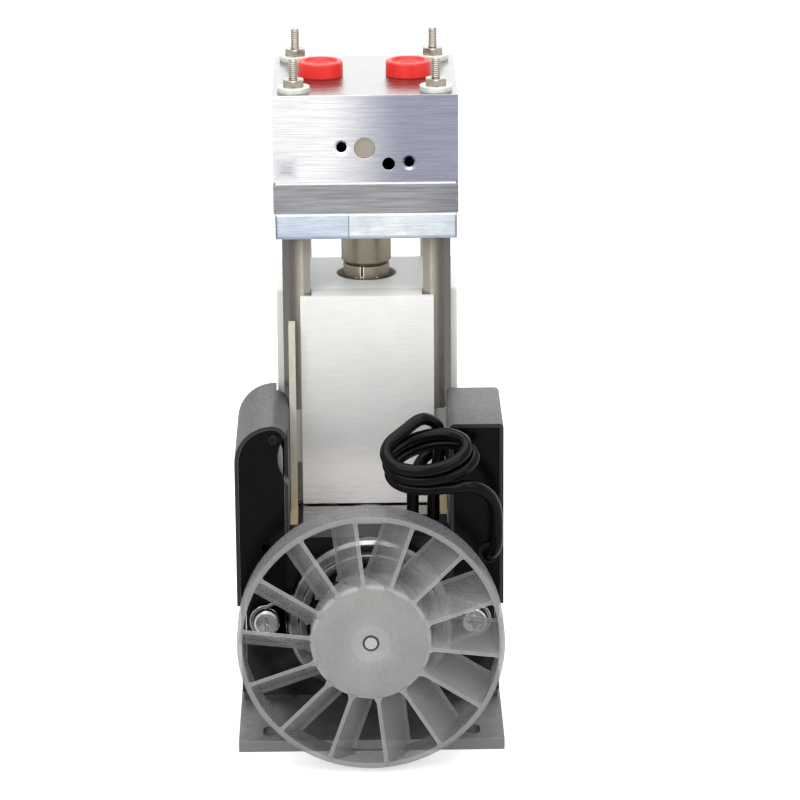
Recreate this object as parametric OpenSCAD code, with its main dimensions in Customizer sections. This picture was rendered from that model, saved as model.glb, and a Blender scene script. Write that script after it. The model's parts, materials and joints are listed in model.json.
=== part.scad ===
// Motor driven bellows pump for drawing gas samples.
// Origin: centre of the base plate's slot pattern, on its underside.
// +X to the right of the fan side, +Y from the fan to the back, +Z up, millimetres.

/* [Base plate] */
// Distance from the outside of the side boxes to the edge of the base plate
base_margin = 0.5; // [0:0.1:8]
// Depth of the base plate
base_d = 120; // [112:1:140]
// Thickness of the base plate
base_t = 4.5; // [3:0.5:8]
// Distance between the fixing slots across the plate
slot_pitch_x = 80.4; // [74:0.2:86]
// Distance between the fixing slots along the plate
slot_pitch_y = 99; // [98:0.5:104]
// Width of a fixing slot
slot_w = 5.6; // [4:0.1:6.5]
// Length of a fixing slot
slot_l = 10; // [7:0.5:10]

/* [Shaft and crank] */
// Height of the shaft's axis above the underside
axis_h = 53.8; // [53:0.1:60]
// Diameter of the shaft in its bearings
shaft_d = 8; // [6:0.5:9]
// Diameter of the shaft's nose in the fan
nose_d = 4.8; // [3:0.1:6]
// Distance of the crank plane behind the middle of the base
crank_y = 23.4; // [23:0.2:26]
// Offset of the eccentric from the shaft's axis
throw = 1.25; // [0.5:0.05:1.8]
// Diameter of the eccentric
eccentric_d = 18; // [16:0.5:20]
// Length of the eccentric
eccentric_l = 10; // [9.6:0.2:11]
// Outer diameter of the crank bearing
crank_bearing_d = 26; // [24:0.5:28]
// Width of the connecting rod's big end
rod_t = 9; // [7.5:0.5:9.4]
// Width of the connecting rod's shank
shank_w = 9; // [6:0.5:12]
// Diameter of the connecting rod's stem
stem_d = 8; // [6:0.5:9]
// Radius of the counterweight
weight_r = 20; // [15:0.5:24]
// Thickness of the counterweight
weight_t = 5; // [3:0.5:8]

/* [Fan] */
// Outer diameter of the fan
fan_d = 103.4; // [96:0.2:104]
// Depth of the fan's outer ring
fan_l = 14.5; // [14:0.1:22]
// Wall of the fan's outer ring
fan_wall = 2.2; // [1.4:0.1:3]
// Outer diameter of the fan's hub
hub_d = 47; // [36:0.5:56]
// Wall of the fan's hub
hub_wall = 1.8; // [1.2:0.1:2.6]
// Distance of the hub's face behind the front of the ring
hub_set = 1; // [1:0.5:4]
// Number of blades
blade_n = 14; // [9:1:16]
// Thickness of a blade
blade_t = 1.4; // [0.8:0.1:2]
// Tilt of a blade from the shaft's direction in degrees
blade_tilt = 34; // [15:1:38]
// Gap between the fan's ring and the edge of the base plate
fan_gap = 8.5; // [4:0.1:10]

/* [Motor] */
// Distance from the long screws to the side of the stator stack
stack_margin = 8.2; // [7:0.1:8.4]
// Height of the stator stack
stack_h = 66; // [62:0.5:68]
// Length of the stator stack
stack_l = 37; // [34:0.5:39]
// Diameter of the rotor core
rotor_d = 42; // [36:0.5:43]
// Radial gap between rotor and stator
air_gap = 0.5; // [0.3:0.1:0.8]
// Outer diameter of the front bell's dome
dome_d = 66; // [62:0.5:66]
// Distance between the two long motor screws
screw_pitch = 81; // [80:0.5:84]
// Diameter of the long motor screws
screw_d = 4.2; // [3:0.1:5]
// Head diameter of the long motor screws
screw_head_d = 10; // [8:0.2:10.4]
// Thickness of the front bell's arms
arm_t = 5; // [4:0.2:6]
// Radius of the front bell's arms at the screws
arm_r = 6.8; // [5.6:0.1:6.9]
// Length of the rear bell
rear_bell_l = 14.3; // [13.5:0.1:17]
// Outer diameter of the motor's ball bearings
bearing_d = 22; // [19:0.5:24]
// Width of the motor's ball bearings
bearing_w = 7; // [5:0.5:7]

/* [Drive housing] */
// Width of the drive housing
body_w = 71.6; // [68:0.2:74]
// Depth of the drive housing
body_d = 48.2; // [47:0.1:48.2]
// Height of the drive housing's top above the underside
body_h = 173; // [171:0.5:176]
// Wall of the drive housing
wall = 4; // [3:0.5:5]
// Diameter of the hole in the top for the connecting rod
top_hole_d = 24; // [23:0.5:34]
// Thickness of the housing's feet
foot_t = 3.5; // [3:0.5:6]
// Height of the lugs' tops above the underside
lug_top = 126; // [120:1:130]
// Height of a lug
lug_h = 22; // [14:1:24]
// Width of the front cover
cover_w = 52.6; // [46:0.2:54]
// Thickness of the front cover's face
cover_t = 1.8; // [1.2:0.1:2.4]
// Width of the rear cover
rear_cover_w = 43; // [38:0.5:43.4]
// Thickness of the rear cover
rear_cover_t = 2; // [1.5:0.1:3]

/* [Standoffs and studs] */
// Distance between the studs across the head
stud_pitch_x = 55.4; // [54.5:0.1:58]
// Distance between the studs along the head
stud_pitch_y = 58; // [58:0.1:60]
// Diameter of a stud
stud_d = 3.5; // [3:0.1:4.5]
// Length of the studs above the head
stud_out = 13; // [9:0.5:18]
// Distance across the flats of a standoff
standoff_af = 9.5; // [8:0.1:9.5]
// Length of a standoff
standoff_l = 70.7; // [69.5:0.1:76]
// Distance across the flats of a stud nut
nut_af = 7.94; // [7:0.1:9]
// Height of a stud nut
nut_h = 2.8; // [2:0.1:4]
// Diameter of a stud washer
washer_d = 12.7; // [9.5:0.1:13]
// Thickness of a stud washer
washer_t = 1.1; // [0.6:0.1:1.6]

/* [Head] */
// Width of the valve block
head_w = 72.3; // [70:0.1:78]
// Depth of the head
head_d = 74; // [72:0.5:80]
// Height of the valve block
block_h = 34.6; // [33:0.1:42]
// Height of the bellows plate
plate_h = 11.7; // [10:0.1:14]
// Height of the split clamp plate
clamp_h = 9.4; // [8:0.1:11]
// Thickness of a gasket
gasket_t = 0.8; // [0.4:0.1:1.2]
// Place of the clamp plate's joint across the head
split_x = -6.8; // [-12:0.1:12]
// Distance between the inlet and the outlet port
port_pitch = 34.8; // [30:0.2:37]
// Diameter of a port
port_d = 11.6; // [9:0.1:12.4]
// Depth of a port
port_depth = 16; // [12:0.5:17]
// Diameter of a port plug's flange
plug_d = 18; // [15:0.5:20]
// Height of a port plug's flange
plug_h = 6; // [3:0.1:7]

/* [Bellows] */
// Outer diameter of the bellows
bellows_d = 53; // [48:0.5:55]
// Inner diameter of the bellows
bellows_id = 41; // [38:0.5:43]
// Number of half folds, an odd number
half_folds = 13; // [7:2:15]
// Thickness of the bellows' metal
bellows_t = 0.35; // [0.2:0.05:0.4]
// Outer diameter of the cup below the bellows
cup_d = 20; // [18:0.5:21]
// Outer diameter of the clamp collar
collar_d = 18.5; // [16:0.5:20]
// Height of the clamp collar
collar_h = 9.5; // [7:0.5:11]

/* [Side boxes] */
// Distance from the stator stack to the outside of a side box
box_margin = 3.3; // [2.8:0.1:5]
// Distance between the two side boxes
boxes_gap = 62.4; // [62.4:0.1:64]
// Height of the side boxes' tops above the underside
box_top = 134.6; // [130:0.2:140]
// Length of the side boxes
box_l = 48; // [44:0.5:48]
// Length of the hood on the left side box
hood_l = 9.5; // [4:0.5:10]
// Thickness of the side boxes' sheet
sheet_t = 1.6; // [1:0.1:2]
// Radius of the left side box's shoulder
shoulder_r = 15; // [8:0.5:16]
// Thickness of the end caps
cap_t = 2.6; // [2:0.1:3]

/* [Leads] */
// Diameter of the motor leads
lead_d = 4.8; // [3:0.1:4.9]

/* [Hidden] */
$fn = 72;
// Clearance of parts that are pushed together
fit = 0.02;
// Clearance of parts that turn or slide on each other
run = 0.04;
// Small gap between parts that lie beside each other
seat = 0.3;
// Amount by which a cut runs past a face
eps = 1;

// Widths, from the long screws outwards
stack_w = screw_pitch + 2 * stack_margin;
boxes_w = stack_w + 2 * box_margin;
base_w = boxes_w + 2 * base_margin;

// Places along the shaft, from the fan to the back
fan_front = -base_d / 2 - fan_gap - fan_l;
fan_back = fan_front + fan_l;
body_front = crank_y - body_d / 2;
body_back = crank_y + body_d / 2;
stack_back = body_front - rear_bell_l;
stack_front = stack_back - stack_l;
arm_front = stack_front - arm_t;
dome_front = arm_front - 2.4;
boss_front = dome_front - 4;
shaft_back = crank_y + eccentric_l / 2 + weight_t;
shaft_step = fan_back - 0.7;
front_pocket = boss_front + 1.3;
rear_pocket = body_front - 2 - bearing_w;

// Heights of the head, from the lugs upwards
clamp_z = lug_top + standoff_l;
lower_gasket_z = clamp_z + clamp_h;
plate_z = lower_gasket_z + gasket_t;
upper_gasket_z = plate_z + plate_h;
block_z = upper_gasket_z + gasket_t;
head_top = block_z + block_h;
washer_top = head_top + 2 * washer_t;
stud_top = head_top + stud_out;
flange_t = 1.2;
flange_d = bellows_d + 9;
flange_z = upper_gasket_z - flange_t;
lip_t = 2;
lip_d = cup_d + 2 * throw + 1.8;
bore_d = bellows_d + 4;
disc_z = clamp_z + lip_t + 2 * throw + 0.6;
disc_t = 1.6;
bellows_z = disc_z + disc_t;
cup_z = clamp_z - 19.1;
collar_z = cup_z - collar_h;
stem_top = cup_z + 9;
slit_w = 0.9;
slit_x = -1.8;

// Studs and screws
stud_x = stud_pitch_x / 2;
stud_y = stud_pitch_y / 2;
stud_hole_d = stud_d + 0.4;
small_d = 3.5;
small_head_d = 7;
small_head_h = 2.4;
foot_top = base_t + foot_t;
foot_x = boxes_w / 2 - 0.5;
foot_front = stack_back;
foot_back = slot_pitch_y / 2 - slot_l / 2 - 2.5;
tab_top = foot_top + sheet_t;
foot_screw_x = boxes_w / 2 - 6;
foot_screw_front = foot_front + 6;
foot_screw_back = foot_back - 8;
bell_hole = 26;
cover_boss_x = 12;
cover_z = axis_h + stack_h / 2 + seat;
cover_boss_low = lug_top - 16;
cover_boss_high = body_h - 18;
cover_back = body_front - standoff_af / 2 - stud_d - 1.65;
cover_front = cover_back - cover_t;
cover_box_w = stud_pitch_x - 2 * standoff_af / sqrt(3) - 0.8;
lug_reach = body_front - cover_back - seat;
window_w = rear_cover_w - 12;
window_low = 30;
window_high = body_h - 23;
rear_cover_low = window_low - 12;
rear_cover_high = window_high + 12;

// Side boxes
box_out = boxes_w / 2;
box_in = boxes_gap / 2;
box_front = stack_front - 7;
box_back = box_front + box_l;
inner_r = 6;
right_r = 1.8;
box_low = axis_h + 7.2;
stack_top = axis_h + stack_h / 2;
cap_low = axis_h + 11;
cap_set = 0.4;
cap_gap = 0.1;
cap_front = box_front + cap_set;
cap_screw_d = 2;
cap_screw_head_d = 4;
cap_screw_high = [box_in + 5.6, box_top - 5.6];
cap_screw_low = [box_out - 6, cap_low + 5.2];
leg_t = 13.5;
bite_r = 16;
bite_x = box_in - 12;
bite_z = box_top - 13.5;
capacitor_w = 16;
capacitor_h = 42.5;
terminal_h = 18;
terminal_side = 5;
terminal_front = 4;
terminal_back = 8;
bite_l = 9;
spy_hole = [box_in + 9, stack_top - 2];
spy_hole_d = 4;
rear_screw_rise = 8;
board_l = 8.4;
board_t = 2.6;
board_drop = 10.3;
sleeve_wall = 2;
sleeve_d = stem_d + 2 * sleeve_wall;
eye_wall = 5;
dome_step = 4.5;
bevel = 1;
dome_wall = 3.7;
supply_hole_d = 8;
supply_x = box_out - 10;
supply_z = box_top - 24;

// Leads: each route is hand chosen, and the loop follows a formula
lead_r = lead_d / 2;
outlet_h = 5.2;
lead_z = stack_top + outlet_h;
outlet_y = -46;
rise_x = 25;
straight_x = 17;
grommet_t = 1.2;
straight_end = [box_in - grommet_t, -40, 118];
tail_end = [box_out - 6, box_front + cap_set - grommet_t, 82];
loop_c = [20.8, -71.7, 125.3];
loop_a = 14.6;
loop_b = 10.2;
loop_lean = 60;
loop_roll = 8;
loop_start = 130;
loop_sweep = 860;
loop_pitch = lead_d + 0.5;
loop_shift = 4.6;
loop_grow = 2.6;
rise_route = [
    [rise_x, outlet_y, lead_z], [rise_x, outlet_y, lead_z + 6], [25.3, -46.4, 105], [26.2, -47.4, 112],
    [27.1, -49.2, 118.6], [27.6, -51.8, 124.8], [27.2, -54.8, 130.4], [25.6, -57.9, 134.8],
    [23, -60.8, 137.2], [19.8, -63.2, 138]
];
tail_route = [
    [35.6, -78.2, 115.8], [40, -77, 115.2], [43.8, -75, 112.8], [46.9, -72.4, 108.6],
    [48.6, -70, 103], [49, -68.4, 96.8], [49, -67.6, 92], [48.8, -66.6, 88],
    [47.9, -64.9, 84.7], [46.7, -63, 82.7], [tail_end[0], tail_end[1] - 1.4, tail_end[2]], tail_end
];
straight_route = [
    [straight_x, outlet_y, lead_z], [straight_x, outlet_y, lead_z + 6], [17.2, -45.4, 104.4],
    [18.6, -43.6, 110.6], [21.6, -41.4, 115.4], [25.4, -40.2, 117.6], [27.8, -40, 118], straight_end
];

function unit(v) = v / norm(v);
function last(p) = p[len(p) - 1];
function heading(p, i) = unit(p[min(i + 1, len(p) - 1)] - p[max(i - 1, 0)]);
function square_to(n, t) = unit(n - (n * t) * t);
// The side direction of each ring is carried along, so that the tube does not twist.
function sides_along(p) = [
    for (i = 0, n = square_to([0.2, 1, 0.3], heading(p, 0)); i < len(p);
        i = i + 1, n = i < len(p) ? square_to(n, heading(p, i)) : n) n
];
function ring(c, n, t, r, sides) = [
    for (k = [0:sides - 1])
        let (a = 360 * k / sides) c + r * (cos(a) * n + sin(a) * cross(t, n))
];
function loop_point(s) =
    let (
        t = loop_start + s,
        done = s / loop_sweep,
        across = [cos(loop_roll), 0, sin(loop_roll)],
        along = [0, sin(loop_lean), cos(loop_lean)],
        up = [0, -cos(loop_lean), sin(loop_lean)]
    )
    loop_c + [loop_shift * done, 0, 0] + (loop_a + loop_grow * done) * cos(t) * across
        + loop_b * sin(t) * along + loop_pitch * (loop_sweep / 2 - s) / 360 * up;
loop_steps = ceil(24 * loop_sweep / 360);
loop_path = [for (i = [0:loop_steps]) loop_point(loop_sweep * i / loop_steps)];
loop_in = loop_path[0] + lead_d * unit(loop_path[0] - loop_path[1]);
loop_out = last(loop_path) + lead_d * unit(last(loop_path) - loop_path[loop_steps - 1]);
loop_route = concat([loop_in], loop_path, [loop_out]);
rise_path = concat(rise_route, [loop_in + 0.4 * (loop_in - loop_path[0]), loop_in]);
tail_path = concat([loop_out, loop_out + 0.4 * (loop_out - last(loop_path))], tail_route);
// Least distance between two stretches of the loop that are at least half a turn apart
loop_gap = min([
    for (i = [0:loop_steps], j = [0:loop_steps])
        if (j - i > 11) norm(loop_path[i] - loop_path[j])
]) - lead_d;
echo(loop_gap = loop_gap);

module tube(p, r, sides) {
    n = sides_along(p);
    rows = [for (i = [0:len(p) - 1]) ring(p[i], n[i], heading(p, i), r, sides)];
    points = [for (row = rows) each row];
    walls = [
        for (i = [0:len(p) - 2], k = [0:sides - 1])
            let (a = i * sides + k, b = i * sides + (k + 1) % sides)
            each [[a, a + sides, b], [b, a + sides, b + sides]]
    ];
    first_end = [for (k = [1:sides - 2]) [0, k, k + 1]];
    base = (len(p) - 1) * sides;
    last_end = [for (k = [1:sides - 2]) [base, base + k + 1, base + k]];
    polyhedron(points, concat(walls, first_end, last_end));
}

// Upright outline in the XZ plane, given depth t from y0 backwards
module upright(y0, t) {
    translate([0, y0 + t, 0]) rotate([90, 0, 0]) linear_extrude(t) children();
}

// Profile turned about the shaft's axis, its height measured along +Y from y0
module on_shaft(y0, x = 0, z = axis_h) {
    translate([x, y0, z]) rotate([-90, 0, 0]) children();
}

// Box from its low corner to its high corner
module block(low, high) {
    translate(low) cube(high - low);
}

module both_sides() {
    children();
    mirror([1, 0, 0]) children();
}

module at_studs() {
    for (sx = [-1, 1], sy = [-1, 1]) translate([sx * stud_x, crank_y + sy * stud_y, 0]) children();
}

module screw_y(d, l, head_d, head_h) {
    // Pan head in front of the origin, shank backwards along +Y
    rotate([-90, 0, 0]) {
        cylinder(d = d, h = l);
        translate([0, 0, -head_h]) difference() {
            cylinder(d = head_d, h = head_h);
            for (a = [0, 90]) rotate([0, 0, a])
                translate([-head_d * 0.3, -head_d * 0.06, -eps])
                    cube([head_d * 0.6, head_d * 0.12, head_h * 0.55 + eps]);
        }
    }
}

module slot_cut() {
    reach = (slot_l - slot_w) / 2;
    for (s = [-1, 1]) translate([0, s * reach, -eps]) cylinder(d = slot_w, h = base_t + 2 * eps);
    translate([-slot_w / 2, -reach, -eps]) cube([slot_w, 2 * reach, base_t + 2 * eps]);
}

module at_foot_screws() {
    for (s = [-1, 1]) {
        translate([s * foot_screw_x, foot_screw_front, 0]) children();
        translate([s * foot_screw_x, foot_screw_back, 0]) children();
    }
}

module base_plate() {
    color("silver") difference() {
        block([-base_w / 2, -base_d / 2, 0], [base_w / 2, base_d / 2, base_t]);
        for (sx = [-1, 1], sy = [-1, 1])
            translate([sx * slot_pitch_x / 2, sy * slot_pitch_y / 2, 0]) slot_cut();
        at_foot_screws() translate([0, 0, -eps]) cylinder(d = small_d + 2 * fit, h = base_t + 2 * eps);
    }
}

module drive_housing() {
    color("gainsboro") difference() {
        union() {
            block([-body_w / 2, body_front, base_t], [body_w / 2, body_back, body_h]);
            both_sides() {
                block([body_w / 2 - wall, foot_front, base_t], [foot_x, foot_back, foot_top]);
                block([body_w / 2 - wall, foot_front, base_t], [body_w / 2 + 2, body_front + wall, foot_top + wall]);
                for (y = [[body_front - lug_reach, body_front + wall], [body_back - wall, body_back + lug_reach]])
                    block([stud_x - standoff_af / 2 - 0.45, y[0], lug_top - lug_h], [body_w / 2, y[1], lug_top]);
            }
        }
        // Crank chamber
        block([-body_w / 2 + wall, body_front + wall, foot_top + wall],
            [body_w / 2 - wall, body_back - wall, body_h - wall]);
        // Hole in the top for the clamp collar
        translate([0, crank_y, body_h - wall - eps]) cylinder(d = top_hole_d, h = wall + 2 * eps);
        // Pilot bore and screw holes for the rear bell
        on_shaft(body_front - eps) cylinder(d = bearing_d + 6 + 2 * run, h = wall + 2 * eps);
        for (sx = [-1, 1], sz = [-1, 1])
            on_shaft(body_front - eps, sx * bell_hole, axis_h + sz * bell_hole)
                cylinder(d = small_d + 2 * fit, h = wall + 2 * eps);
        // Window behind the rear cover
        block([-window_w / 2, body_back - wall - eps, window_low], [window_w / 2, body_back + eps, window_high]);
        at_rear_cover_screws(body_back - wall - eps) cylinder(d = small_d - 0.5 + 2 * fit, h = wall + 2 * eps);
        at_front_cover_screws(body_front - eps) cylinder(d = small_d - 0.5 + 2 * fit, h = wall + 2 * eps);
        at_studs() translate([0, 0, lug_top - 8.2]) cylinder(d = stud_d + 2 * fit, h = 8.2 + eps);
        at_foot_screws() translate([0, 0, base_t - eps]) cylinder(d = small_d + 2 * fit, h = foot_t + 2 * eps);
    }
}

module housing_screws() {
    color("lightgray") for (s = [-1, 1]) {
        translate([s * foot_screw_x, foot_screw_front, tab_top]) foot_screw(tab_top - 0.5);
        translate([s * foot_screw_x, foot_screw_back, foot_top]) foot_screw(foot_top - 0.5);
    }
}

module foot_screw(l) {
    rotate([90, 0, 0]) mirror([0, 1, 0]) screw_y(small_d, l, small_head_d, small_head_h);
}

module at_rear_cover_screws(y) {
    for (s = [-1, 1], z = [rear_cover_low + 6, (rear_cover_low + rear_cover_high) / 2, rear_cover_high - 6])
        on_shaft(y, s * (rear_cover_w / 2 - 3), z) children();
}

module rear_cover() {
    color("gainsboro") difference() {
        block([-rear_cover_w / 2, body_back, rear_cover_low],
            [rear_cover_w / 2, body_back + rear_cover_t, rear_cover_high]);
        at_rear_cover_screws(body_back - eps) cylinder(d = small_d - 0.5 + 2 * fit, h = rear_cover_t + 2 * eps);
    }
}

module rear_cover_screws() {
    l = rear_cover_t + wall;
    color("lightgray") at_rear_cover_screws(body_back + rear_cover_t)
        rotate([-90, 0, 0]) screw_y(small_d - 0.5, l, 5.5, 2);
}

module at_front_cover_screws(y) {
    for (s = [-1, 1], z = [cover_boss_low, cover_boss_high]) on_shaft(y, s * cover_boss_x, z) children();
}

module front_cover() {
    side = 1.5;
    color("whitesmoke") difference() {
        union() {
            difference() {
                union() {
                    block([-cover_w / 2, cover_front, cover_z], [cover_w / 2, cover_back, body_h]);
                    block([-cover_box_w / 2, cover_back - eps, cover_z], [cover_box_w / 2, body_front, body_h]);
                }
                block([-cover_box_w / 2 + side, cover_back, cover_z + side],
                    [cover_box_w / 2 - side, body_front + eps, body_h - side]);
            }
            at_front_cover_screws(cover_back - eps) cylinder(d = 7, h = body_front - cover_back + eps);
        }
        at_front_cover_screws(cover_back + 1.5) cylinder(d = small_d - 0.5 + 2 * fit, h = 20);
    }
}

module front_cover_screws() {
    l = body_front - cover_back + wall - 2;
    color("lightgray") at_front_cover_screws(body_front + wall)
        rotate([-90, 0, 0]) screw_y(small_d - 0.5, l, 5.5, 2);
}

module insulating_board(x, top) {
    color("wheat") block([x, cover_back - board_l, stack_top], [x + board_t, cover_back, top]);
}

module left_insulating_board() {
    insulating_board(-box_in + 0.2, body_h - board_drop);
}

module right_insulating_board() {
    insulating_board(box_in - 0.2 - board_t, lug_top - lug_h);
}

module standoffs() {
    color("silver") at_studs() difference() {
        union() {
            translate([0, 0, lug_top]) cylinder(d = standoff_af * 2 / sqrt(3), h = standoff_l, $fn = 6);
            translate([0, 0, lug_top - 8]) cylinder(d = stud_d, h = 9);
        }
        translate([0, 0, clamp_z - 8.2]) cylinder(d = stud_d + 2 * fit, h = 8.2 + eps);
    }
}

module head_slab(z, h, w) {
    translate([-w / 2, crank_y - head_d / 2, z]) cube([w, head_d, h]);
}

module stud_cuts(z, h) {
    at_studs() translate([0, 0, z - eps]) cylinder(d = stud_hole_d, h = h + 2 * eps);
}

module clamp_plate() {
    difference() {
        head_slab(clamp_z, clamp_h, head_w - 1.3);
        translate([0, crank_y, clamp_z - eps]) cylinder(d = lip_d, h = clamp_h);
        translate([0, crank_y, clamp_z + lip_t]) cylinder(d = bore_d, h = clamp_h);
        stud_cuts(clamp_z, clamp_h);
    }
}

module clamp_plate_left() {
    color("silver") intersection() {
        clamp_plate();
        block([-head_w, crank_y - head_d, clamp_z - eps], [split_x - 0.05, crank_y + head_d, clamp_z + clamp_h + eps]);
    }
}

module clamp_plate_right() {
    color("silver") intersection() {
        clamp_plate();
        block([split_x + 0.05, crank_y - head_d, clamp_z - eps], [head_w, crank_y + head_d, clamp_z + clamp_h + eps]);
    }
}

module gasket(z, hole_d) {
    color("dimgray") difference() {
        head_slab(z, gasket_t, head_w - 2);
        translate([0, crank_y, z - eps]) cylinder(d = hole_d, h = gasket_t + 2 * eps);
        stud_cuts(z, gasket_t);
    }
}

module lower_gasket() {
    gasket(lower_gasket_z, bore_d);
}

module upper_gasket() {
    gasket(upper_gasket_z, port_pitch + port_d + 1);
}

module bellows_plate() {
    color("darkgray") difference() {
        head_slab(plate_z, plate_h, head_w);
        translate([0, crank_y, plate_z - eps]) cylinder(d = bore_d, h = plate_h + 2 * eps);
        translate([0, crank_y, flange_z]) cylinder(d = flange_d + 0.2, h = flange_t + eps);
        stud_cuts(plate_z, plate_h);
    }
}

module bellows_flange() {
    color("silver") difference() {
        translate([0, crank_y, flange_z]) cylinder(d = flange_d, h = flange_t);
        translate([0, crank_y, flange_z - eps]) cylinder(d = bellows_id - 1, h = flange_t + 2 * eps);
    }
}

// Folded wall from the cup's rim up to the flange: upright crests and roots joined by flat leaves
module bellows() {
    ro = bellows_d / 2;
    ri = bellows_id / 2;
    rise = (flange_z - bellows_z) / (half_folds + 1);
    h = bellows_t / 2;
    function lower(i) = bellows_z + i * rise;
    function grow(i) = i == 0 || i == half_folds + 1 ? 0 : h;
    outer = [
        for (i = [0:half_folds])
            each i % 2 == 0
                ? [[ro, lower(i) - grow(i)], [ro, lower(i + 1) + grow(i + 1)]]
                : [[ri + bellows_t, lower(i) + grow(i)], [ri + bellows_t, lower(i + 1) - grow(i + 1)]]
    ];
    inner = [
        for (i = [half_folds:-1:0])
            each i % 2 == 0
                ? [[ro - bellows_t, lower(i + 1) - grow(i + 1)], [ro - bellows_t, lower(i) + grow(i)]]
                : [[ri, lower(i + 1) + grow(i + 1)], [ri, lower(i) - grow(i)]]
    ];
    color("lightgray") translate([0, crank_y, 0]) rotate_extrude() polygon(concat(outer, inner));
}

module valve_block() {
    color("silver") difference() {
        head_slab(block_z, block_h, head_w);
        stud_cuts(block_z, block_h);
        // Inlet: port, passage and a pocket that opens downwards
        translate([-port_pitch / 2, crank_y, 0]) {
            translate([0, 0, head_top - port_depth]) cylinder(d = port_d, h = port_depth + eps);
            translate([0, 0, valve_seat_z - eps]) cylinder(d = 5, h = block_h - port_depth);
            translate([0, 0, block_z - eps]) cylinder(d = valve_pocket_d, h = valve_seat_z - block_z + eps);
        }
        // Outlet: passage from below and a port that holds the valve
        translate([port_pitch / 2, crank_y, 0]) {
            translate([0, 0, valve_seat_z]) cylinder(d = port_d, h = head_top - valve_seat_z + eps);
            translate([0, 0, block_z - eps]) cylinder(d = 5, h = block_h / 2);
        }
        // Holes in the front face
        face_hole(gauge_left, 4, 10);
        sink(gauge_left, 6.4, 4);
        face_hole(gallery, gallery_d, 6);
        face_hole(open_port, 5, 16);
        face_hole(gauge_right, 3.8, 10);
        sink(gauge_right, 6, 3.8);
    }
}

valve_seat_z = block_z + 7.1;
valve_pocket_d = port_d + 0.2;
valve_disc_d = port_d - 1.2;
valve_disc_t = 1;
valve_lift = 0.8;
block_front = crank_y - head_d / 2;
gallery_d = 8.4;
gauge_left = [-9.3, block_z + 13.8];
gallery = [-0.3, block_z + 13.6];
open_port = [9, block_z + 7.3];
gauge_right = [17, block_z + 7.7];

module face_hole(p, d, depth) {
    on_shaft(block_front - eps, p[0], p[1]) cylinder(d = d, h = depth + eps);
}

module sink(p, d_out, d_in) {
    h = (d_out - d_in) / 2;
    on_shaft(block_front - 0.01, p[0], p[1]) cylinder(d1 = d_out, d2 = d_in, h = h);
}

module studs() {
    color("gray") at_studs() translate([0, 0, clamp_z - 7.5]) cylinder(d = stud_d, h = stud_top - clamp_z + 7.5);
}

module stud_nuts() {
    color("lightgray") at_studs() translate([0, 0, washer_top]) difference() {
        cylinder(d = nut_af * 2 / sqrt(3), h = nut_h, $fn = 6);
        translate([0, 0, -eps]) cylinder(d = stud_d + 2 * fit, h = nut_h + 2 * eps);
    }
}

module stud_washers() {
    color("gainsboro") at_studs() for (i = [0, 1]) translate([0, 0, head_top + i * washer_t]) difference() {
        cylinder(d = washer_d, h = washer_t);
        translate([0, 0, -eps]) cylinder(d = stud_d + 0.3, h = washer_t + 2 * eps);
    }
}

module valve_disc(x, z) {
    color("lightsteelblue") translate([x, crank_y, z]) cylinder(d = valve_disc_d, h = valve_disc_t);
}

module valve_retainer(x, z, d) {
    color("gray") translate([x, crank_y, z]) difference() {
        cylinder(d = d, h = 2);
        translate([0, 0, -eps]) cylinder(d = 6, h = 2 + 2 * eps);
    }
}

module inlet_valve_disc() {
    valve_disc(-port_pitch / 2, valve_seat_z - 0.1 - valve_disc_t);
}

module inlet_valve_retainer() {
    valve_retainer(-port_pitch / 2, valve_seat_z - 0.1 - valve_disc_t - valve_lift - 0.3 - 2, valve_pocket_d - 2 * fit);
}

module outlet_valve_disc() {
    valve_disc(port_pitch / 2, valve_seat_z + 0.1);
}

module outlet_valve_retainer() {
    valve_retainer(port_pitch / 2, valve_seat_z + 0.1 + valve_disc_t + valve_lift + 0.3, port_d - 2 * fit);
}

module gallery_plug() {
    color("gray") on_shaft(block_front + 1.4, gallery[0], gallery[1]) cylinder(d = gallery_d - 2 * fit, h = 4.4);
}

// Hollow plug: flange on the block's top, stem in the port
module port_plug(x) {
    stem_l = port_depth - 6;
    skin = 1.2;
    color("tomato") translate([x, crank_y, head_top]) rotate_extrude() polygon([
        [0, -stem_l], [port_d / 2 - 0.3, -stem_l], [port_d / 2 - 0.06, -stem_l + 1], [port_d / 2 - 0.06, 0],
        [plug_d / 2, 0], [plug_d / 2, plug_h - 0.6], [plug_d / 2 - 0.6, plug_h],
        [plug_d / 2 - 2, plug_h], [plug_d / 2 - 2.4, plug_h - 2.4], [port_d / 2 - skin - 0.2, plug_h - 2.6],
        [port_d / 2 - skin - 0.4, -stem_l + skin], [0, -stem_l + skin]
    ]);
}

module inlet_port_plug() {
    port_plug(-port_pitch / 2);
}

module outlet_port_plug() {
    port_plug(port_pitch / 2);
}

module corner_cut(r) {
    difference() {
        square(r + eps);
        circle(r = r);
    }
}

// Outline of the right side box, set in by t, with outer corner radius ro and inner radius ri
module box_outline(t, low, ro, ri) {
    x0 = box_in + t;
    x1 = box_out - t;
    z1 = box_top - t;
    r1 = max(ro - t, 0.3);
    r0 = max(ri - t, 0.3);
    difference() {
        translate([x0, low]) square([x1 - x0, z1 - low]);
        translate([x1 - r1, z1 - r1]) corner_cut(r1);
        translate([x0 + r0, z1 - r0]) mirror([1, 0]) corner_cut(r0);
    }
}

module box_shell(y0, l, ro, ri) {
    upright(y0, l) difference() {
        box_outline(0, box_low, ro, ri);
        box_outline(sheet_t, box_low - eps, ro, ri);
    }
}

module at_cap_screws(y, places) {
    for (p = places) on_shaft(y, p[0], p[1]) children();
}

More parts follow.
